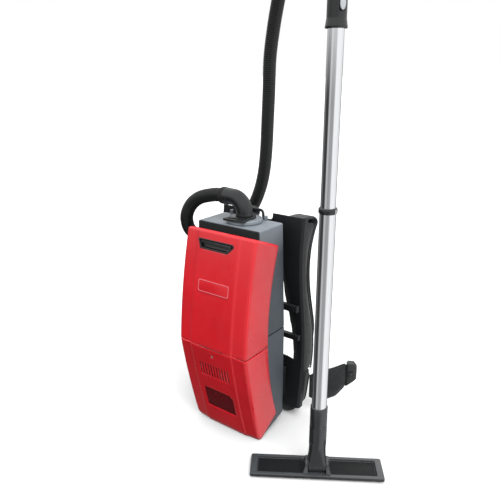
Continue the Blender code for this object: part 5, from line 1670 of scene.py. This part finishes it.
def make_belt_tape(side, word):
    """The belt's tape on the wearer's side of a wing, sewn down in two rows."""
    face = WING_THICK / 2

    def middle(along):
        return 0.108 + along * 0.12

    rings = []
    for i in range(9):
        along = 0.0735 + 0.0225 * i / 8
        rings.append([wing_point(along, face + 0.0018 + v * 0.0008, middle(along) + u * 0.0125, side)
                      for u, v in WEBBING_SECTION])
    tape = loft_bm(rings)
    for along in (0.0835, 0.0935):
        sewn = [wing_point(along, face + 0.0028, middle(along) + u, side) for u in STITCH_ROW]
        merge(tape, stitches_bm(sewn))
    smooth(add("belt_tape_" + word, tape, WEBBING, "unit", "belt_webbing_" + word), 50)


def make_buckles():
    """Two halves of a side-release buckle: a socket with side windows and a plug with two prongs."""
    near = WING_THICK / 2 + 0.0012
    levels = ((0.04, 0.003, 0.0045), (0.0412, 0.001, 0.0068), (0.044, 0.0, 0.008),
              (0.056, 0.0, 0.008), (0.064, 0.0006, 0.0074), (0.07, 0.0014, 0.0056),
              (0.0726, 0.003, 0.0044))
    windows = ((0.0475, 0.0008), (0.049, 0.004), (0.056, 0.004), (0.0575, 0.0008))
    for node, side, tall in (("buckle_socket", 1, 0.0145), ("buckle_plug", -1, 0.0115)):
        low, high = BUCKLE_Z - tall, BUCKLE_Z + tall
        rings = []
        for along, shrink, deep in levels:
            far = WING_THICK / 2 + deep
            outline = rounded([(near, low + shrink), (far, low + shrink), (far, high - shrink),
                               (near, high - shrink)], 0.0022, 3)
            rings.append([wing_point(along, off, z, side) for off, z in outline])
        buckle = add(node + "_skin", loft_bm(rings), BLACK, "unit", node)
        for z in (low, high):
            corners = ((0.0, -1), (0.012, -1), (0.012, 1), (0.0, 1))
            carve(buckle, loft_bm([[wing_point(along, WING_THICK / 2 + off, z + lift * reach, side)
                                    for off, lift in corners] for along, reach in windows]))
        bevelled(buckle, 0.0005, 2, 45.0)


# ---------------------------------------------------------------- bag and inner parts
def make_bag():
    """A paper bag with side pleats and a stiff collar, half full."""
    rings = []
    for i in range(17):
        t = i / 16
        z = 0.309 + 0.224 * t
        full = math.sin(math.pi * (0.12 + 0.76 * t)) ** 0.5
        half_x, half_y = 0.082 * full, 0.037 * full
        pleat_x, pleat_y = half_x * 0.88, half_y * 0.25
        outline = [(half_x, -half_y), (pleat_x, -pleat_y), (pleat_x, pleat_y), (half_x, half_y),
                   (-half_x, half_y), (-pleat_x, pleat_y), (-pleat_x, -pleat_y), (-half_x, -half_y)]
        rings.append([(x, y, z) for x, y in rounded(outline, 0.006, 2)])
    cushion("filter_bag_paper", rings, PAPER, "filter_bag", 0.0035, 0.0065)


def switch_point(u, off, v):
    return wing_point(SWITCH_ALONG + u, off, SWITCH_Z + v, 1)


def make_switch():
    """The switch box at the belt's end, its bezel and a dished rocker."""
    refine("switch_pod", BLACK, 0.0016, 3)
    half_u, half_v = 0.006, 0.009
    rings = []
    for off, grow in ((-0.0109, 0.0024), (-0.0122, 0.0024), (-0.0122, 0.0006), (-0.0109, 0.0006)):
        outline = rounded_rectangle(half_u + grow, half_v + grow, 0.0014, 3)
        rings.append([switch_point(u, off, v) for u, v in outline])
    smooth(add("switch_bezel", loft_bm(rings, closed=True), BLACK, "unit"), 40.0)
    rows = []
    for i in range(13):
        v = -half_v + 2 * half_v * i / 12
        face = -0.015 + 0.001 * math.cos(math.pi * v / (2 * half_v)) ** 2
        section = rounded([(-0.0058, -0.0125), (0.0058, -0.0125), (0.0058, face), (-0.0058, face)], 0.0005, 2)
        rows.append([switch_point(u, off, v) for u, off in section])
    smooth(add("power_rocker_skin", loft_bm(rows), BLACK, "rocker", "power_switch"), 40.0)


# CAD nodes shown as they are: material, width of the rounded edges, and nodes
PLAIN_NODES = (
    (FRAME_BLACK, 0.001, "back_frame"), (FRAME_BLACK, 0.0012, "upper_cross_bar", "lower_cross_bar"),
    (BLACK, 0.0006, "motor_casing"),
    (RUBBER, 0.0006, "motor_mount", "motor_seal", "inlet_seal", "cover_gasket"),
    (FOAM, 0.001, "motor_filter"), (PAPER, 0.0008, "exhaust_filter"), (PAPER, 0.0004, "bag_collar"),
    # the hinge pin is black rather than steel, so the seam between the covers shows dark: painted shade
    (STEEL, 0.0005, "fan_rotor"), (BLACK, 0.0, "hinge_pin"), (STEEL, 0.0004, "tool_pivot_pin"))


def finish_cad_nodes():
    """Materials and rounded edges for the CAD nodes that are shown as they are."""
    for mat, width, *nodes in PLAIN_NODES:
        for node in nodes:
            refine(node, mat, width)


# ---------------------------------------------------------------- build
for build in (make_camera, make_hose, make_studio, make_floor, make_upper_cover, make_lower_cover,
              make_grille, make_cover_screw, make_latch, make_badge, make_housings, make_inlet,
              make_cuffs, make_locking_ring, make_carry_handle, make_gland, make_tubes, make_tube_collar,
              make_grip, make_release_button, make_air_slider, make_tool_neck, make_floor_tool,
              make_brush_strip, make_back_pads, make_lumbar_pad, make_shoulder_straps,
              make_strap_webbing, make_ladder_buckles, make_hip_belt, make_buckles, make_bag,
              make_switch, finish_cad_nodes):
    build()
simulate()
for piece, _ in PUFFED:
    soften(piece)

for piece in bpy.data.objects:
    if any(slot.material == RED for slot in piece.material_slots):
        piece.visible_glossy = False      # the covers' red is kept off the chrome and the floor
        piece.visible_diffuse = False
